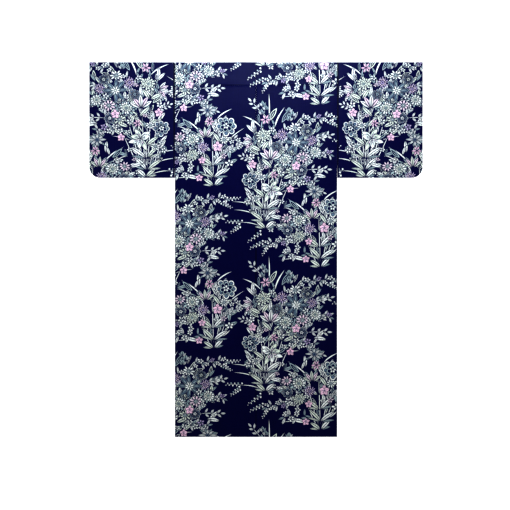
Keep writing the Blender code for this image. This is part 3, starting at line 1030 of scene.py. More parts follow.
def ridge(x, drop, row):
    # A soft bump along a line, that dies out at both ends
    x0, d0, x1, d1, halfWidth, height = row
    length = math.hypot(x1 - x0, d1 - d0)
    ux, ud = (x1 - x0) / length, (d1 - d0) / length
    share = ((x - x0) * ux + (drop - d0) * ud) / length
    across = (x - x0) * ud - (drop - d0) * ux
    ends = np.clip(1.15 - np.abs(2 * share - 1) ** 2.5, 0, 1)
    return height * ends * np.exp(-((across / halfWidth) ** 2))


def creases(x, drop, tables):
    right = sum(ridge(x, drop, row) for table in tables for row in table)
    left = sum(ridge(-x, drop + creaseValues["leftSlip"], row) for table in tables for row in table)
    return right + creaseValues["leftShare"] * left


def armGroove(x):
    # Both cloths dip towards the seam that joins sleeve and body
    away = (np.abs(x) - bodyHigh.x) / creaseValues["grooveWidth"]
    return -creaseValues["grooveDepth"] * np.exp(-(away ** 2))


def tuckAndSeam(x, drop):
    # The sewn tuck across the back, and the pressed allowance of the centre seam
    values = creaseValues
    ends = (*values["tuckRamp"], values["tuckDrop"], values["tuckDrop"] + values["tuckEdge"])
    tuck = np.interp(drop, ends, [0, 1, 1, 0])
    seam = np.clip(1 - (np.abs(x + values["seamLeft"]) / values["seamWidth"]) ** 4, 0, 1)
    return values["tuckRise"] * tuck + values["seamRise"] * seam


# Materials

def groupNodes(name, inputs, outputs):
    group = bpy.data.node_groups.new(name, "ShaderNodeTree")
    for label, kind, value in inputs:
        socket = group.interface.new_socket(name=label, in_out="INPUT", socket_type=kind)
        if value is not None:
            socket.default_value = value
    for label, kind in outputs:
        group.interface.new_socket(name=label, in_out="OUTPUT", socket_type=kind)
    return group, group.nodes.new("NodeGroupInput"), group.nodes.new("NodeGroupOutput")


def mathNode(tree, operation, *values, clamp=False):
    node = tree.nodes.new("ShaderNodeMath")
    node.operation = operation
    node.use_clamp = clamp
    for socket, value in zip(node.inputs, values):
        feed(tree, socket, value)
    return node.outputs[0]


def feed(tree, socket, value):
    if isinstance(value, bpy.types.NodeSocket):
        tree.links.new(value, socket)
    else:
        socket.default_value = value


def softStep(tree, value, low, high):
    node = tree.nodes.new("ShaderNodeMapRange")
    node.interpolation_type = "SMOOTHSTEP"
    feed(tree, node.inputs["Value"], value)
    feed(tree, node.inputs["From Min"], low)
    feed(tree, node.inputs["From Max"], high)
    return node.outputs["Result"]


def mixColour(tree, factor, first, second):
    node = tree.nodes.new("ShaderNodeMix")
    node.data_type = "RGBA"
    colours = [s for s in node.inputs if s.type == "RGBA"]
    feed(tree, node.inputs[0], factor)
    feed(tree, colours[0], first)
    feed(tree, colours[1], second)
    return [s for s in node.outputs if s.type == "RGBA"][0]


# Along a mark: where its foot's shade ends, a petal's rib stops, and how often a leaf's side veins come
inkValues = {
    "footShade": 0.75,
    "outlineFrom": 1.25,
    "outlineTo": 0.75,
    "leafRib": (-0.20, -0.08),
    "leafRibDepth": 0.95,
    "sideVeins": 34.0,
    "veinSlant": 5.0,
    "veinGap": (0.15, 0.45),
    "veinDepth": 0.35,
    "petalRib": (-0.30, -0.12),
    "petalRibEnd": (-0.88, -0.72),
    "petalRibDepth": 0.85,
}


def petalFinish(values=inkValues):
    # Draws each mark: its navy outline, its veins and the shading towards its foot
    tree, source, sink = groupNodes(
        "petalFinish",
        [
            ("Petal", "NodeSocketVector", None), ("Ink", "NodeSocketVector", None),
            ("Dye", "NodeSocketColor", (1, 1, 1, 1)), ("Roundness", "NodeSocketFloat", 2.0),
            ("Ground", "NodeSocketColor", (*navyRgb, 1)),
        ],
        [("Colour", "NodeSocketColor")],
    )
    petal = tree.nodes.new("ShaderNodeSeparateXYZ")
    ink = tree.nodes.new("ShaderNodeSeparateXYZ")
    tree.links.new(source.outputs["Petal"], petal.inputs[0])
    tree.links.new(source.outputs["Ink"], ink.inputs[0])
    v, line, veins, fade = petal.outputs[1], ink.outputs[0], ink.outputs[1], ink.outputs[2]
    bowed = mathNode(tree, "MULTIPLY", petal.outputs[2], mathNode(tree, "MULTIPLY", v, v))
    u = mathNode(tree, "SUBTRACT", petal.outputs[0], bowed)
    uSize = mathNode(tree, "ABSOLUTE", u)
    fromMiddle = mathNode(tree, "ABSOLUTE", mathNode(tree, "MULTIPLY_ADD", v, 2.0, -1.0))
    fromMiddle = mathNode(tree, "POWER", fromMiddle, 2.0)
    r = mathNode(tree, "ADD", mathNode(tree, "POWER", uSize, source.outputs["Roundness"]), fromMiddle)
    starts = mathNode(tree, "MULTIPLY_ADD", line, -values["outlineFrom"], 1.0)
    ends = mathNode(tree, "MULTIPLY_ADD", line, -values["outlineTo"], 1.0)
    hasLine = mathNode(tree, "GREATER_THAN", line, 0.0001)
    edge = mathNode(tree, "MULTIPLY", softStep(tree, r, starts, ends), hasLine)
    reach = values["footShade"]
    foot = softStep(tree, mathNode(tree, "MULTIPLY_ADD", v, -1.0, reach), 0.0, reach)
    shade = mathNode(tree, "SUBTRACT", 1.0, mathNode(tree, "MULTIPLY", fade, foot))
    # Leaves: a dark rib, and one half striped by side veins
    isLeaf = mathNode(tree, "GREATER_THAN", veins, 1.5)
    nearMiddle = mathNode(tree, "MULTIPLY", uSize, -1.0)
    rib = softStep(tree, nearMiddle, *values["leafRib"])
    slant = mathNode(tree, "MULTIPLY", u, values["veinSlant"])
    wave = mathNode(tree, "SINE", mathNode(tree, "MULTIPLY_ADD", v, values["sideVeins"], slant))
    gap = softStep(tree, mathNode(tree, "MULTIPLY", wave, -1.0), *values["veinGap"])
    striped = mathNode(tree, "MULTIPLY", gap, mathNode(tree, "LESS_THAN", u, 0.0))
    stripeShade = mathNode(tree, "MULTIPLY_ADD", striped, -values["veinDepth"], 1.0)
    ribShade = mathNode(tree, "MULTIPLY_ADD", rib, -values["leafRibDepth"], 1.0)
    leafShade = mathNode(tree, "MULTIPLY", stripeShade, ribShade)
    # Petals: a softer rib that stops short of the tip
    ribEnd = softStep(tree, mathNode(tree, "MULTIPLY", v, -1.0), *values["petalRibEnd"])
    stripe = mathNode(tree, "MULTIPLY", softStep(tree, nearMiddle, *values["petalRib"]), ribEnd)
    deep = mathNode(tree, "MULTIPLY", veins, values["petalRibDepth"])
    strength = mathNode(tree, "MULTIPLY", deep, stripe)
    petalShade = mathNode(tree, "SUBTRACT", 1.0, strength, clamp=True)
    chosen = tree.nodes.new("ShaderNodeMix")
    feed(tree, chosen.inputs[0], isLeaf)
    feed(tree, chosen.inputs[2], petalShade)
    feed(tree, chosen.inputs[3], leafShade)
    shade = mathNode(tree, "MULTIPLY", shade, chosen.outputs[0])
    inked = mixColour(tree, shade, source.outputs["Ground"], source.outputs["Dye"])
    drawn = mixColour(tree, edge, inked, source.outputs["Ground"])
    tree.links.new(drawn, sink.inputs["Colour"])
    return tree


weaveValues = {"slubAlong": 22.0, "slubAcross": 260.0, "slubDetail": 2.0, "crossing": 0.35}


def plainWeave(values=weaveValues):
    # Warp and weft with slubs: a bump height, and a shade that varies a little from thread to thread
    tree, source, sink = groupNodes(
        "plainWeave",
        [
            ("Vector", "NodeSocketVector", None), ("Threads", "NodeSocketFloat", 1500.0),
            ("Slub", "NodeSocketFloat", 0.5),
        ],
        [("Height", "NodeSocketFloat"), ("Shade", "NodeSocketFloat")],
    )
    place = tree.nodes.new("ShaderNodeSeparateXYZ")
    tree.links.new(source.outputs["Vector"], place.inputs[0])
    threads = source.outputs["Threads"]
    warp = mathNode(tree, "SINE", mathNode(tree, "MULTIPLY", place.outputs[0], threads))
    weft = mathNode(tree, "SINE", mathNode(tree, "MULTIPLY", place.outputs[1], threads))
    crossing = mathNode(tree, "MULTIPLY", warp, weft)
    slubs = []
    along, across = values["slubAlong"], values["slubAcross"]
    for stretch in ((across, along, 1.0), (along, across, 1.0)):
        mapping = tree.nodes.new("ShaderNodeMapping")
        mapping.inputs["Scale"].default_value = stretch
        tree.links.new(source.outputs["Vector"], mapping.inputs["Vector"])
        noise = tree.nodes.new("ShaderNodeTexNoise")
        noise.inputs["Scale"].default_value = 1.0
        noise.inputs["Detail"].default_value = values["slubDetail"]
        tree.links.new(mapping.outputs["Vector"], noise.inputs["Vector"])
        slubs.append(noise.outputs[0])
    both = mathNode(tree, "ADD", slubs[0], slubs[1])
    uneven = mathNode(tree, "MULTIPLY", mathNode(tree, "SUBTRACT", both, 1.0), source.outputs["Slub"])
    height = mathNode(tree, "MULTIPLY_ADD", crossing, values["crossing"], uneven)
    tree.links.new(height, sink.inputs["Height"])
    tree.links.new(mathNode(tree, "ADD", uneven, 1.0), sink.inputs["Shade"])
    return tree


finishGroups = {"petal": petalFinish(), "weave": plainWeave()}

cottonValues = {
    "roughness": 0.42,
    "specular": 0.09,
    "bumpDistance": 0.0003,
    "bumpStrength": 0.35,
    "threads": 5200.0,
    "slub": 0.35,
}


def printedCotton(name, values=cottonValues):
    material = bpy.data.materials.new(name)
    material.use_nodes = True
    tree = material.node_tree
    shader = tree.nodes["Principled BSDF"]

    def attribute(label):
        node = tree.nodes.new("ShaderNodeAttribute")
        node.attribute_name = label
        return node

    petal = tree.nodes.new("ShaderNodeGroup")
    petal.node_tree = finishGroups["petal"]
    tree.links.new(attribute("petal").outputs["Vector"], petal.inputs["Petal"])
    tree.links.new(attribute("ink").outputs["Vector"], petal.inputs["Ink"])
    dye = attribute("dye")
    tree.links.new(dye.outputs["Color"], petal.inputs["Dye"])
    tree.links.new(dye.outputs["Alpha"], petal.inputs["Roundness"])
    weave = tree.nodes.new("ShaderNodeGroup")
    weave.node_tree = finishGroups["weave"]
    weave.inputs["Threads"].default_value = values["threads"]
    weave.inputs["Slub"].default_value = values["slub"]
    place = tree.nodes.new("ShaderNodeTexCoord")
    tree.links.new(place.outputs["Object"], weave.inputs["Vector"])
    shaded = tree.nodes.new("ShaderNodeVectorMath")
    shaded.operation = "SCALE"
    tree.links.new(petal.outputs["Colour"], shaded.inputs[0])
    tree.links.new(weave.outputs["Shade"], shaded.inputs["Scale"])
    tree.links.new(shaded.outputs[0], shader.inputs["Base Color"])
    bump = tree.nodes.new("ShaderNodeBump")
    bump.inputs["Distance"].default_value = values["bumpDistance"]
    bump.inputs["Strength"].default_value = values["bumpStrength"]
    tree.links.new(weave.outputs["Height"], bump.inputs["Height"])
    tree.links.new(bump.outputs["Normal"], shader.inputs["Normal"])
    shader.inputs["Roughness"].default_value = values["roughness"]
    shader.inputs["Specular IOR Level"].default_value = values["specular"]
    return material


def dressCloth(piece, name):
    # Gives a cloth its print and its body, and hides the solid that it stands for
    piece.data.materials.append(printedCotton(name + "_print"))
    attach(piece, "root")
    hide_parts(name)
    return piece


# The strip over a shoulder: back below y = 0, front above it

foldValues = {"halfArc": 0.0025, "rows": 4, "flatDrop": 0.010, "step": 0.02}
clothPlaces = {}  # each cloth's own map from its plane to the garment, for the stitches on it


def reliefShare(inset):
    # The coarse inner faces follow the creases less, so that they stay behind the outer ones
    return creaseValues["insideShare"] if inset > 0 else 1.0


def overShoulder(topHeight, lowHeight, reach):
    # Places a strip's points, down to reach on both sides. topHeight and lowHeight are the outer faces'
    # heights over x, drop and relief share.
    arc, flat = foldValues["halfArc"], foldValues["flatDrop"]

    def place(x, y, inset):
        share = reliefShare(inset)
        beside = np.maximum(np.abs(y) - arc, 0)
        top = topHeight(x, np.full_like(x, flat), share)
        low = lowHeight(x, np.full_like(x, flat), share)
        radius, middle = (top - low) / 2, (top + low) / 2
        drop = radius + beside * (reach - radius) / (reach - arc)
        level = np.maximum(drop, flat)
        outside = np.where(y < 0, topHeight(x, level, share) - inset, lowHeight(x, level, share) + inset)
        turn = np.clip(y / arc, -1, 1) * np.pi / 2
        folded = np.abs(y) < arc
        z = np.where(folded, middle - (radius - inset) * np.sin(turn), outside)
        drop = np.where(folded, radius - (radius - inset) * np.cos(turn), drop)
        return np.stack([x, shoulderY - drop, z], axis=1)

    return place


def foldLines(x0, x1):
    # Straight rows of points across a strip at its shoulder fold
    arc, rows = foldValues["halfArc"], foldValues["rows"]
    across = np.linspace(x0, x1, max(3, round(abs(x1 - x0) / foldValues["step"]) + 1))
    return [[(x, arc * i / rows) for x in across] for i in range(-rows, rows + 1)]


# Bodies

bodyValues = {
    "neckHalf": 0.090,
    "okumiTipDrop": 0.230,
    "centreGap": 0.00003,
    "thickness": 0.0010,
    "frontShare": 0.4,
    "rightFrontShare": 0.55,
    "outside": 0.011,
    "inside": 0.022,
    "tuckRows": (-0.0004, 0.0018),
    "tuckPoints": 32,
    "tuckLine": 0.0006,
    "edgeRows": (0.0015, 0.004),
    "edgePoints": 110,
    "lineOverrun": 0.05,
}


def bodyOutline(side):
    inner, outer = bodyValues["centreGap"], bodyHigh.x
    shape = [
        (inner, -hemDrop), (outer, -hemDrop), (outer, hemDrop), (okumiSeam + seamGap, hemDrop),
        (okumiSeam + seamGap, bodyValues["okumiTipDrop"]), (bodyValues["neckHalf"], 0.0), (inner, 0.0),
    ]
    return [(side * x, y) for x, y in shape]


def frontShare(side):
    # How much of the creases a front follows
    return bodyValues["frontShare"] if side < 0 else bodyValues["rightFrontShare"]


def makeBody(name, side):
    values = bodyValues
    top, low = heightsOf(name, True), heightsOf(name, False)

    def topHeight(x, drop, relief):
        lift = creases(x, drop, [underarmCreases, pressCreases]) + tuckAndSeam(x, drop) + armGroove(x)
        return top(x, shoulderY - drop) + relief * lift

    def lowHeight(x, drop, relief):
        lift = creases(x, drop, [underarmCreases, pressCreases])
        return low(x, shoulderY - drop) + relief * frontShare(side) * lift

    clothPlaces[name] = overShoulder(topHeight, lowHeight, hemDrop)
    inner, outer = side * values["centreGap"], side * bodyHigh.x
    tuck = creaseValues["tuckDrop"]
    across = np.linspace(inner, outer, values["tuckPoints"])[1:-1]
    tuckRows = [[(x, -drop - tuck) for x in across] for drop in values["tuckRows"]]
    down = np.linspace(-hemDrop, 0, values["edgePoints"])[1:-1]
    edgeRows = [[(outer - side * step, y) for y in down] for step in values["edgeRows"]]
    # Painted shade: dark lines in the print along the tuck and down the centre back seam
    past, tuckY = side * values["lineOverrun"], -tuck - values["tuckLine"]
    foldShadeMarks = [
        seamShadeMark((inner - past, tuckY), (outer + past, tuckY), *seamShadeValues["tuck"]),
        seamShadeMark((0, 0.5 * hemDrop), (0, -1.5 * hemDrop), *seamShadeValues["back"]),
    ]
    piece = clothShell(
        name + "_cloth", bodyOutline(side), clothPlaces[name], values, printValues["bodyStart"],
        lines=foldLines(inner, outer), extra=[*tuckRows, *edgeRows], under=foldShadeMarks,
    )
    return dressCloth(piece, name)


bodyLeft = makeBody("body_left", -1)
bodyRight = makeBody("body_right", 1)

# Sleeves

sleeveValues = {
    "corner": 0.047,
    "wrist": 0.225,
    "thickness": 0.0010,
    "frontShare": 0.3,
    "seamDrop": 0.0003,
    "hang": 0.0015,
    "sewnHalf": 0.0004,
    "armSeam": 0.43,
    "armGap": 0.00004,
    "freeOpening": {-1: 0.0006, 1: 0.0009},
    "roll": 0.003,
    "mouthRamp": 0.006,
    "outside": 0.011,
    "inside": 0.020,
    "cornerSteps": 7,
    "edgeRings": (0.0006, 0.0015, 0.003),
    "edgePoints": 24,
    "longEdge": 0.1,
    "armLine": 0.003,
}
sleeveInner = bodyHigh.x + sleeveValues["armGap"]
sleeveDepth = sleeveHigh.y - sleeveLow.y + sleeveValues["hang"]


def sleeveOutline(side):
    # The inner edge meets the body down to the end of the arm seam, and below that it falls open a little
    inner, outer = sleeveInner, sleeveHigh.x
    free, sewn = inner + sleeveValues["freeOpening"][side], sleeveValues["armSeam"]
    depth, corner = sleeveDepth, sleeveValues["corner"]
    bend = []
    for i in range(sleeveValues["cornerSteps"] + 1):
        a = math.pi / 2 * i / sleeveValues["cornerSteps"]
        bend.append((outer - corner + corner * math.sin(a), -depth + corner - corner * math.cos(a)))
    shape = [(inner, -sewn), (free, -depth)] + bend
    shape += [(x, -y) for x, y in reversed(shape)]
    return [(side * x, y) for x, y in shape]


def sewnDistance(x, drop):
    # How far a place is from the sleeve's sewn bottom and outer edge
    depth, outer, corner = sleeveDepth, sleeveHigh.x, sleeveValues["corner"]
    x = np.abs(x)
    toBottom, toSide = depth - drop, outer - x
    sewn = np.clip((drop - sleeveValues["wrist"]) / sleeveValues["mouthRamp"], 0, 1)
    rounded = corner - np.hypot(np.maximum(corner - toSide, 0), np.maximum(corner - toBottom, 0))
    inCorner = (toSide < corner) & (toBottom < corner)
    side = np.where(sewn > 0, toSide + (1 - sewn) * sleeveValues["roll"], sleeveValues["roll"])
    return np.where(inCorner, rounded, np.minimum(toBottom, side))


def makeSleeve(name, side):
    top, low = heightsOf(name, True), heightsOf(name, False)
    middle = (sleeveHigh.z + sleeveLow.z) / 2 - sleeveValues["seamDrop"]
    sewn = sleeveValues["sewnHalf"]

    def closed(x, drop):
        near = np.clip(sewnDistance(x, drop) / sleeveValues["roll"], 0, 1)
        return np.sqrt(1 - (1 - near) ** 2)

    def topHeight(x, drop, relief):
        high = top(x, shoulderY - drop) + relief * (creases(x, drop, [sleeveCreases]) + armGroove(x))
        return middle + sewn + (high - middle - sewn) * closed(x, drop)

    def lowHeight(x, drop, relief):
        lift = sleeveValues["frontShare"] * creases(x, drop, [sleeveCreases])
        down = low(x, shoulderY - drop) + relief * lift
        return middle - sewn + (down - middle + sewn) * closed(x, drop)

    strip = overShoulder(topHeight, lowHeight, sleeveDepth)

    def place(x, y, inset):
        points = strip(x, y, inset)
        flat = np.abs(y) > foldValues["halfArc"]
        points[:, 2] = np.where(flat & (y < 0), np.maximum(points[:, 2], middle), points[:, 2])
        points[:, 2] = np.where(flat & (y > 0), np.minimum(points[:, 2], middle), points[:, 2])
        return points

    clothPlaces[name] = place
    outline = np.array(sleeveOutline(side))
    centre = np.array([side * (sleeveInner + sleeveHigh.x) / 2, 0.0])
    steps = np.linspace(0, 1, sleeveValues["edgePoints"])[:-1, None]
    extra = []
    for inwards in sleeveValues["edgeRings"]:
        shrink = 1 - inwards / np.array([(sleeveHigh.x - sleeveLow.x) / 2, sleeveDepth])
        edge = centre + (outline - centre) * shrink
        for a, b in zip(edge, np.roll(edge, -1, axis=0)):
            long = np.hypot(*(b - a)) > sleeveValues["longEdge"]
            extra.append(a + (b - a) * (steps if long else steps[:1]))
    # Painted shade: a dark line in the print beside the arm seam
    seamX = side * (sleeveInner + sleeveValues["armLine"])
    piece = clothShell(
        name + "_cloth", outline, place, sleeveValues, printValues["sleeveStart"], side < 0,
        lines=foldLines(side * sleeveInner, side * sleeveHigh.x), extra=extra,
        over=[seamShadeMark((seamX, 1.0), (seamX, -1.0), *seamShadeValues["arm"])],
    )
    return dressCloth(piece, name)


sleeveLeft = makeSleeve("sleeve_left", -1)
sleeveRight = makeSleeve("sleeve_right", 1)

# Okumi panels: they lie face down under the backs

okumiValues = {
    "thickness": 0.0010,
    "tipDrop": 0.254,
    "collarEndDrop": 0.850,
    "collarEndX": -0.020,
    "outside": 0.016,
    "inside": 0.03,
}


def faceDown(lowHeight):
    def place(x, y, inset):
        return np.stack([x, shoulderY - y, lowHeight(x, y, reliefShare(inset)) + inset], axis=1)

    return place


def makeOkumi(name, side):
    low = heightsOf(name, False)

    def lowHeight(x, drop, relief):
        lift = creases(x, drop, [underarmCreases, pressCreases])
        return low(x, shoulderY - drop) + relief * frontShare(side) * lift

    tip, end, endX = okumiValues["tipDrop"], okumiValues["collarEndDrop"], okumiValues["collarEndX"]
    slant = (okumiSeam - endX) / (end - bodyValues["okumiTipDrop"])
    tipX = okumiSeam - slant * (tip - bodyValues["okumiTipDrop"])
    shape = [
        (okumiSeam, tip), (okumiSeam, hemDrop), (okumiLow.x, hemDrop), (okumiLow.x, end + seamGap),
        (endX + seamGap, end), (tipX, tip),
    ]
    piece = clothShell(
        name + "_cloth", [(side * x, y) for x, y in shape], faceDown(lowHeight), okumiValues,
        printValues["bodyStart"],
    )
    return dressCloth(piece, name)


okumiLeft = makeOkumi("okumi_left", -1)
okumiRight = makeOkumi("okumi_right", 1)

# Collar: a folded band sewn to the fronts, laid along its own length

collarValues = {
    "width": 0.055,
    "endWidth": 0.070,
    "endDrop": 0.850,
    "neckInset": 0.0024,
    "thickness": 0.0024,
    "outside": 0.012,
    "inside": 0.02,
    "jointPoints": 6,
    "printStart": (0.02, 0.9),
}


def collarLines(values):
    # The sewn and the folded edge, from the left end round the neck to the right end, as x and drop
    overlap = -okumiLow.x
    neckHalf, tip = bodyValues["neckHalf"], bodyValues["okumiTipDrop"]
    start = neckHalf + (okumiSeam - neckHalf) * values["neckInset"] / tip
    end = (values["endWidth"] - overlap, values["endDrop"])
    half = [(start, values["neckInset"]), (okumiSeam, tip), end]
    sewn = np.array([(-x, drop) for x, drop in reversed(half)] + half)
    way = np.diff(sewn, axis=0)
    way /= np.linalg.norm(way, axis=1)[:, None]
    across = np.stack([-way[:, 1], way[:, 0]], axis=1)
    mitre = (across[:-1] + across[1:]) / (1 + (across[:-1] * across[1:]).sum(axis=1))[:, None]
    folded = sewn[1:-1] + mitre * values["width"]
    end = np.array([overlap, values["endDrop"]])
    return sewn, np.vstack([end, folded, end * (-1, 1)])


def makeCollar(name, values):
    sewn, folded = collarLines(values)
    middles = (sewn + folded) / 2
    stops = np.concatenate([[0], np.cumsum(np.linalg.norm(np.diff(middles, axis=0), axis=1))])
    top = heightsOf(name, True)

    def place(x, y, inset):
        share = x / values["width"]
        edges = [np.interp(y, stops, line[:, i]) for line in (folded, sewn) for i in (0, 1)]
        acrossX = edges[0] + (edges[2] - edges[0]) * share
        drop = edges[1] + (edges[3] - edges[1]) * share
        over = np.clip((y - stops[2]) / (stops[3] - stops[2]), 0, 1)
        low = np.maximum(top(acrossX, shoulderY - drop) - values["thickness"], 0) * over
        return np.stack([acrossX, shoulderY - drop, low + inset], axis=1)

    width, length = values["width"], stops[-1]
    across = np.linspace(0, width, values["jointPoints"])
    joints = [[(x, stop) for x in across] for stop in stops[1:-1]]
    corners = [(0, 0)] + [(width, stop) for stop in stops] + [(0, stop) for stop in stops[:0:-1]]
    piece = clothShell(name + "_cloth", corners, place, values, values["printStart"], lines=joints)
    return dressCloth(piece, name), length


collarPiece, collarLength = makeCollar("collar", collarValues)


# Stitches: short threads set along a line by Geometry Nodes

stitchValues = {
    "pitch": 0.0085,
    "length": 0.0030,
    "thickness": 0.0006,
    "jitter": 0.12,
    "seed": 4,
    "hemAbove": 0.012,
    "mouthInside": 0.006,
    "lift": 0.0003,
    "seamInside": 0.004,
    "underTuck": 0.0035,
    "hemPoints": 60,
    "mouthPoints": 40,
    "freeFrom": 0.065,
    "freeTo": 0.008,
    "freePoints": 12,
    "threadColour": (0.03, 0.04, 0.13),
    "tackColour": (0.55, 0.58, 0.60),
    # the share of the thread colour left in the painted shade of the ply grooves
    "plyGrooveShade": 0.6,
    "plies": 900,
    "plyDepth": 0.0001,
    "threadRoughness": 0.6,
    "tackCount": 5,
    "tackStep": 0.0025,
    "tackHalf": 0.003,
    "tackInside": 0.0055,
    "tackAbove": 0.006,
    "tackPitch": 0.003,
}


def stitchTree():
    tree = bpy.data.node_groups.new("runningStitch", "GeometryNodeTree")
    tree.interface.new_socket(name="Geometry", in_out="INPUT", socket_type="NodeSocketGeometry")
    for label, value in (("Pitch", 0.01), ("Stitch Length", 0.003), ("Thread", 0.0006), ("Jitter", 0.1)):
        socket = tree.interface.new_socket(name=label, in_out="INPUT", socket_type="NodeSocketFloat")
        socket.default_value = value
    socket = tree.interface.new_socket(name="Seed", in_out="INPUT", socket_type="NodeSocketInt")
    socket.default_value = 1
    tree.interface.new_socket(name="Thread Material", in_out="INPUT", socket_type="NodeSocketMaterial")
    tree.interface.new_socket(name="Geometry", in_out="OUTPUT", socket_type="NodeSocketGeometry")
    source, sink = tree.nodes.new("NodeGroupInput"), tree.nodes.new("NodeGroupOutput")
    new = tree.nodes.new
    toCurve = new("GeometryNodeMeshToCurve")
    toPoints = new("GeometryNodeCurveToPoints")
    toPoints.mode = "LENGTH"
    bead = new("GeometryNodeMeshUVSphere")
    bead.inputs["Segments"].default_value = 8
    bead.inputs["Rings"].default_value = 4
    bead.inputs["Radius"].default_value = 0.5
    turn = new("FunctionNodeAlignRotationToVector")
    turn.axis = "X"
    vary = new("FunctionNodeRandomValue")
    vary.data_type = "FLOAT"
    size = new("ShaderNodeCombineXYZ")
    longer = new("ShaderNodeMath")
    longer.operation = "MULTIPLY_ADD"
    spread = new("ShaderNodeMath")
    spread.operation = "MULTIPLY"
    onPoints = new("GeometryNodeInstanceOnPoints")
    realize = new("GeometryNodeRealizeInstances")
    paint = new("GeometryNodeSetMaterial")
    vary.inputs[2].default_value = -1.0
    vary.inputs[3].default_value = 1.0
    for giver, output, taker, entry in (
        (source, "Geometry", toCurve, "Mesh"), (toCurve, "Curve", toPoints, "Curve"),
        (source, "Pitch", toPoints, "Length"), (toPoints, "Tangent", turn, "Vector"),
        (source, "Seed", vary, "Seed"), (source, "Jitter", spread, 0),
        (source, "Stitch Length", spread, 1), (vary, 1, longer, 0),
        (spread, 0, longer, 1), (source, "Stitch Length", longer, 2),
        (longer, 0, size, 0), (source, "Thread", size, 1), (source, "Thread", size, 2),
        (toPoints, "Points", onPoints, "Points"), (bead, "Mesh", onPoints, "Instance"),
        (turn, "Rotation", onPoints, "Rotation"), (size, 0, onPoints, "Scale"),
        (onPoints, "Instances", realize, "Geometry"), (realize, "Geometry", paint, "Geometry"),
        (source, "Thread Material", paint, "Material"), (paint, "Geometry", sink, "Geometry"),
    ):
        tree.links.new(giver.outputs[output], taker.inputs[entry])
    return tree


stitchNodes = stitchTree()


def threadMaterial(name, colour, values=stitchValues):
    # Twisted cotton thread: a fine slanted ply in bump, with painted shade darkening the colour in the
    # grooves between the plies
    material = bpy.data.materials.new(name)
    material.use_nodes = True
    tree = material.node_tree
    shader = tree.nodes["Principled BSDF"]
    place = tree.nodes.new("ShaderNodeTexCoord")
    ply = tree.nodes.new("ShaderNodeTexWave")
    ply.bands_direction = "DIAGONAL"
    ply.inputs["Scale"].default_value = values["plies"]
    tree.links.new(place.outputs["Object"], ply.inputs["Vector"])
    # Painted shade: the colour darkens where the ply's bump is low
    dark = tuple(values["plyGrooveShade"] * c for c in colour)
    shade = mixColour(tree, ply.outputs["Fac"], (*dark, 1), (*colour, 1))
    tree.links.new(shade, shader.inputs["Base Color"])
    bump = tree.nodes.new("ShaderNodeBump")
    bump.inputs["Distance"].default_value = values["plyDepth"]
    tree.links.new(ply.outputs["Fac"], bump.inputs["Height"])
    tree.links.new(bump.outputs["Normal"], shader.inputs["Normal"])
    shader.inputs["Roughness"].default_value = values["threadRoughness"]
    return material


def stitchLine(name, lines, thread, values=stitchValues, pitch=None):
    # lines are runs of points on the cloth; the threads along them become one plain mesh
    mesh = bpy.data.meshes.new(name + "_line")
    points, edges = [], []
    for line in lines:
        edges += [(len(points) + i, len(points) + i + 1) for i in range(len(line) - 1)]
        points += [tuple(p) for p in line]
    mesh.from_pydata(points, edges, [])
    guide = bpy.data.objects.new(name + "_line", mesh)
    bpy.context.scene.collection.objects.link(guide)
    sewing = guide.modifiers.new("sewing", "NODES")
    sewing.node_group = stitchNodes
    given = {
        "Pitch": pitch or values["pitch"], "Stitch Length": values["length"], "Thread": values["thickness"],
        "Jitter": values["jitter"], "Seed": values["seed"], "Thread Material": thread,
    }
    for item in stitchNodes.interface.items_tree:
        if item.in_out == "INPUT" and item.name in given:
            sewing[item.identifier] = given[item.name]
    depsgraph = bpy.context.evaluated_depsgraph_get()
    made = bpy.data.meshes.new_from_object(guide.evaluated_get(depsgraph))
    guide.modifiers.remove(sewing)
    bpy.data.objects.remove(guide)
    piece = bpy.data.objects.new(name, made)
    piece.data.shade_smooth()
    bpy.context.scene.collection.objects.link(piece)
    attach(piece, "root")
    return piece


navyThread = threadMaterial("navy_thread", stitchValues["threadColour"])
paleThread = threadMaterial("pale_thread", stitchValues["tackColour"])


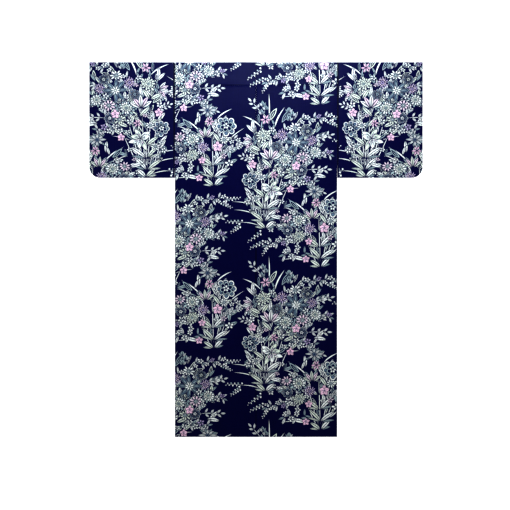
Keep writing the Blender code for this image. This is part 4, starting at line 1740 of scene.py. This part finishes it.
def clothLine(place, start, end, count, lift):
    # Points along a straight line on a cloth's plane, just proud of its outer face
    x = np.linspace(start[0], end[0], count)
    y = np.linspace(start[1], end[1], count)
    points = place(x, y, -lift)
    points[:, 2] = np.maximum(points[:, 2], lift)
    return points


def bodyStitches(name, side, values=stitchValues):
    place, inside, hem = clothPlaces[name], values["seamInside"], hemDrop - values["hemAbove"]
    inner, outer = side * (bodyLow.x + inside), side * (bodyHigh.x - inside)
    lines = []
    for y in (-hem, hem, -creaseValues["tuckDrop"] - values["underTuck"]):
        begin = inner if y < 0 else side * (okumiSeam + inside)
        lines.append(clothLine(place, (begin, y), (outer, y), values["hemPoints"], values["lift"]))
    return stitchLine(name + "_stitches", lines, navyThread)


def sleeveStitches(name, side, values=stitchValues):
    place, inside = clothPlaces[name], values["mouthInside"]
    wristEnd = sleeveValues["wrist"] - values["seamInside"]
    mouth, free = side * (sleeveHigh.x - inside), side * (sleeveLow.x + inside)
    lines = []
    for x, start, end, count in (
        (mouth, inside, wristEnd, values["mouthPoints"]),
        (free, sleeveDepth - values["freeFrom"], sleeveDepth - values["freeTo"], values["freePoints"]),
    ):
        for way in (-1, 1):
            lines.append(clothLine(place, (x, way * start), (x, way * end), count, values["lift"]))
    return stitchLine(name + "_stitches", lines, navyThread)


def sleeveTack(name, side, values=stitchValues):
    # The bar of close stitches that ends the wrist opening
    place, half = clothPlaces[name], values["tackHalf"]
    x = side * (sleeveHigh.x - values["tackInside"])
    lines = []
    for i in range(values["tackCount"]):
        y = -(sleeveValues["wrist"] - values["tackAbove"] + values["tackStep"] * i)
        lines.append(clothLine(place, (x - half, y), (x + half, y), 3, values["lift"]))
    return stitchLine(name + "_tack", lines, paleThread, pitch=values["tackPitch"])


bodyLeftStitches = bodyStitches("body_left", -1)
bodyRightStitches = bodyStitches("body_right", 1)
sleeveLeftStitches = sleeveStitches("sleeve_left", -1)
sleeveRightStitches = sleeveStitches("sleeve_right", 1)
sleeveLeftTack = sleeveTack("sleeve_left", -1)
sleeveRightTack = sleeveTack("sleeve_right", 1)
print("stitches made")
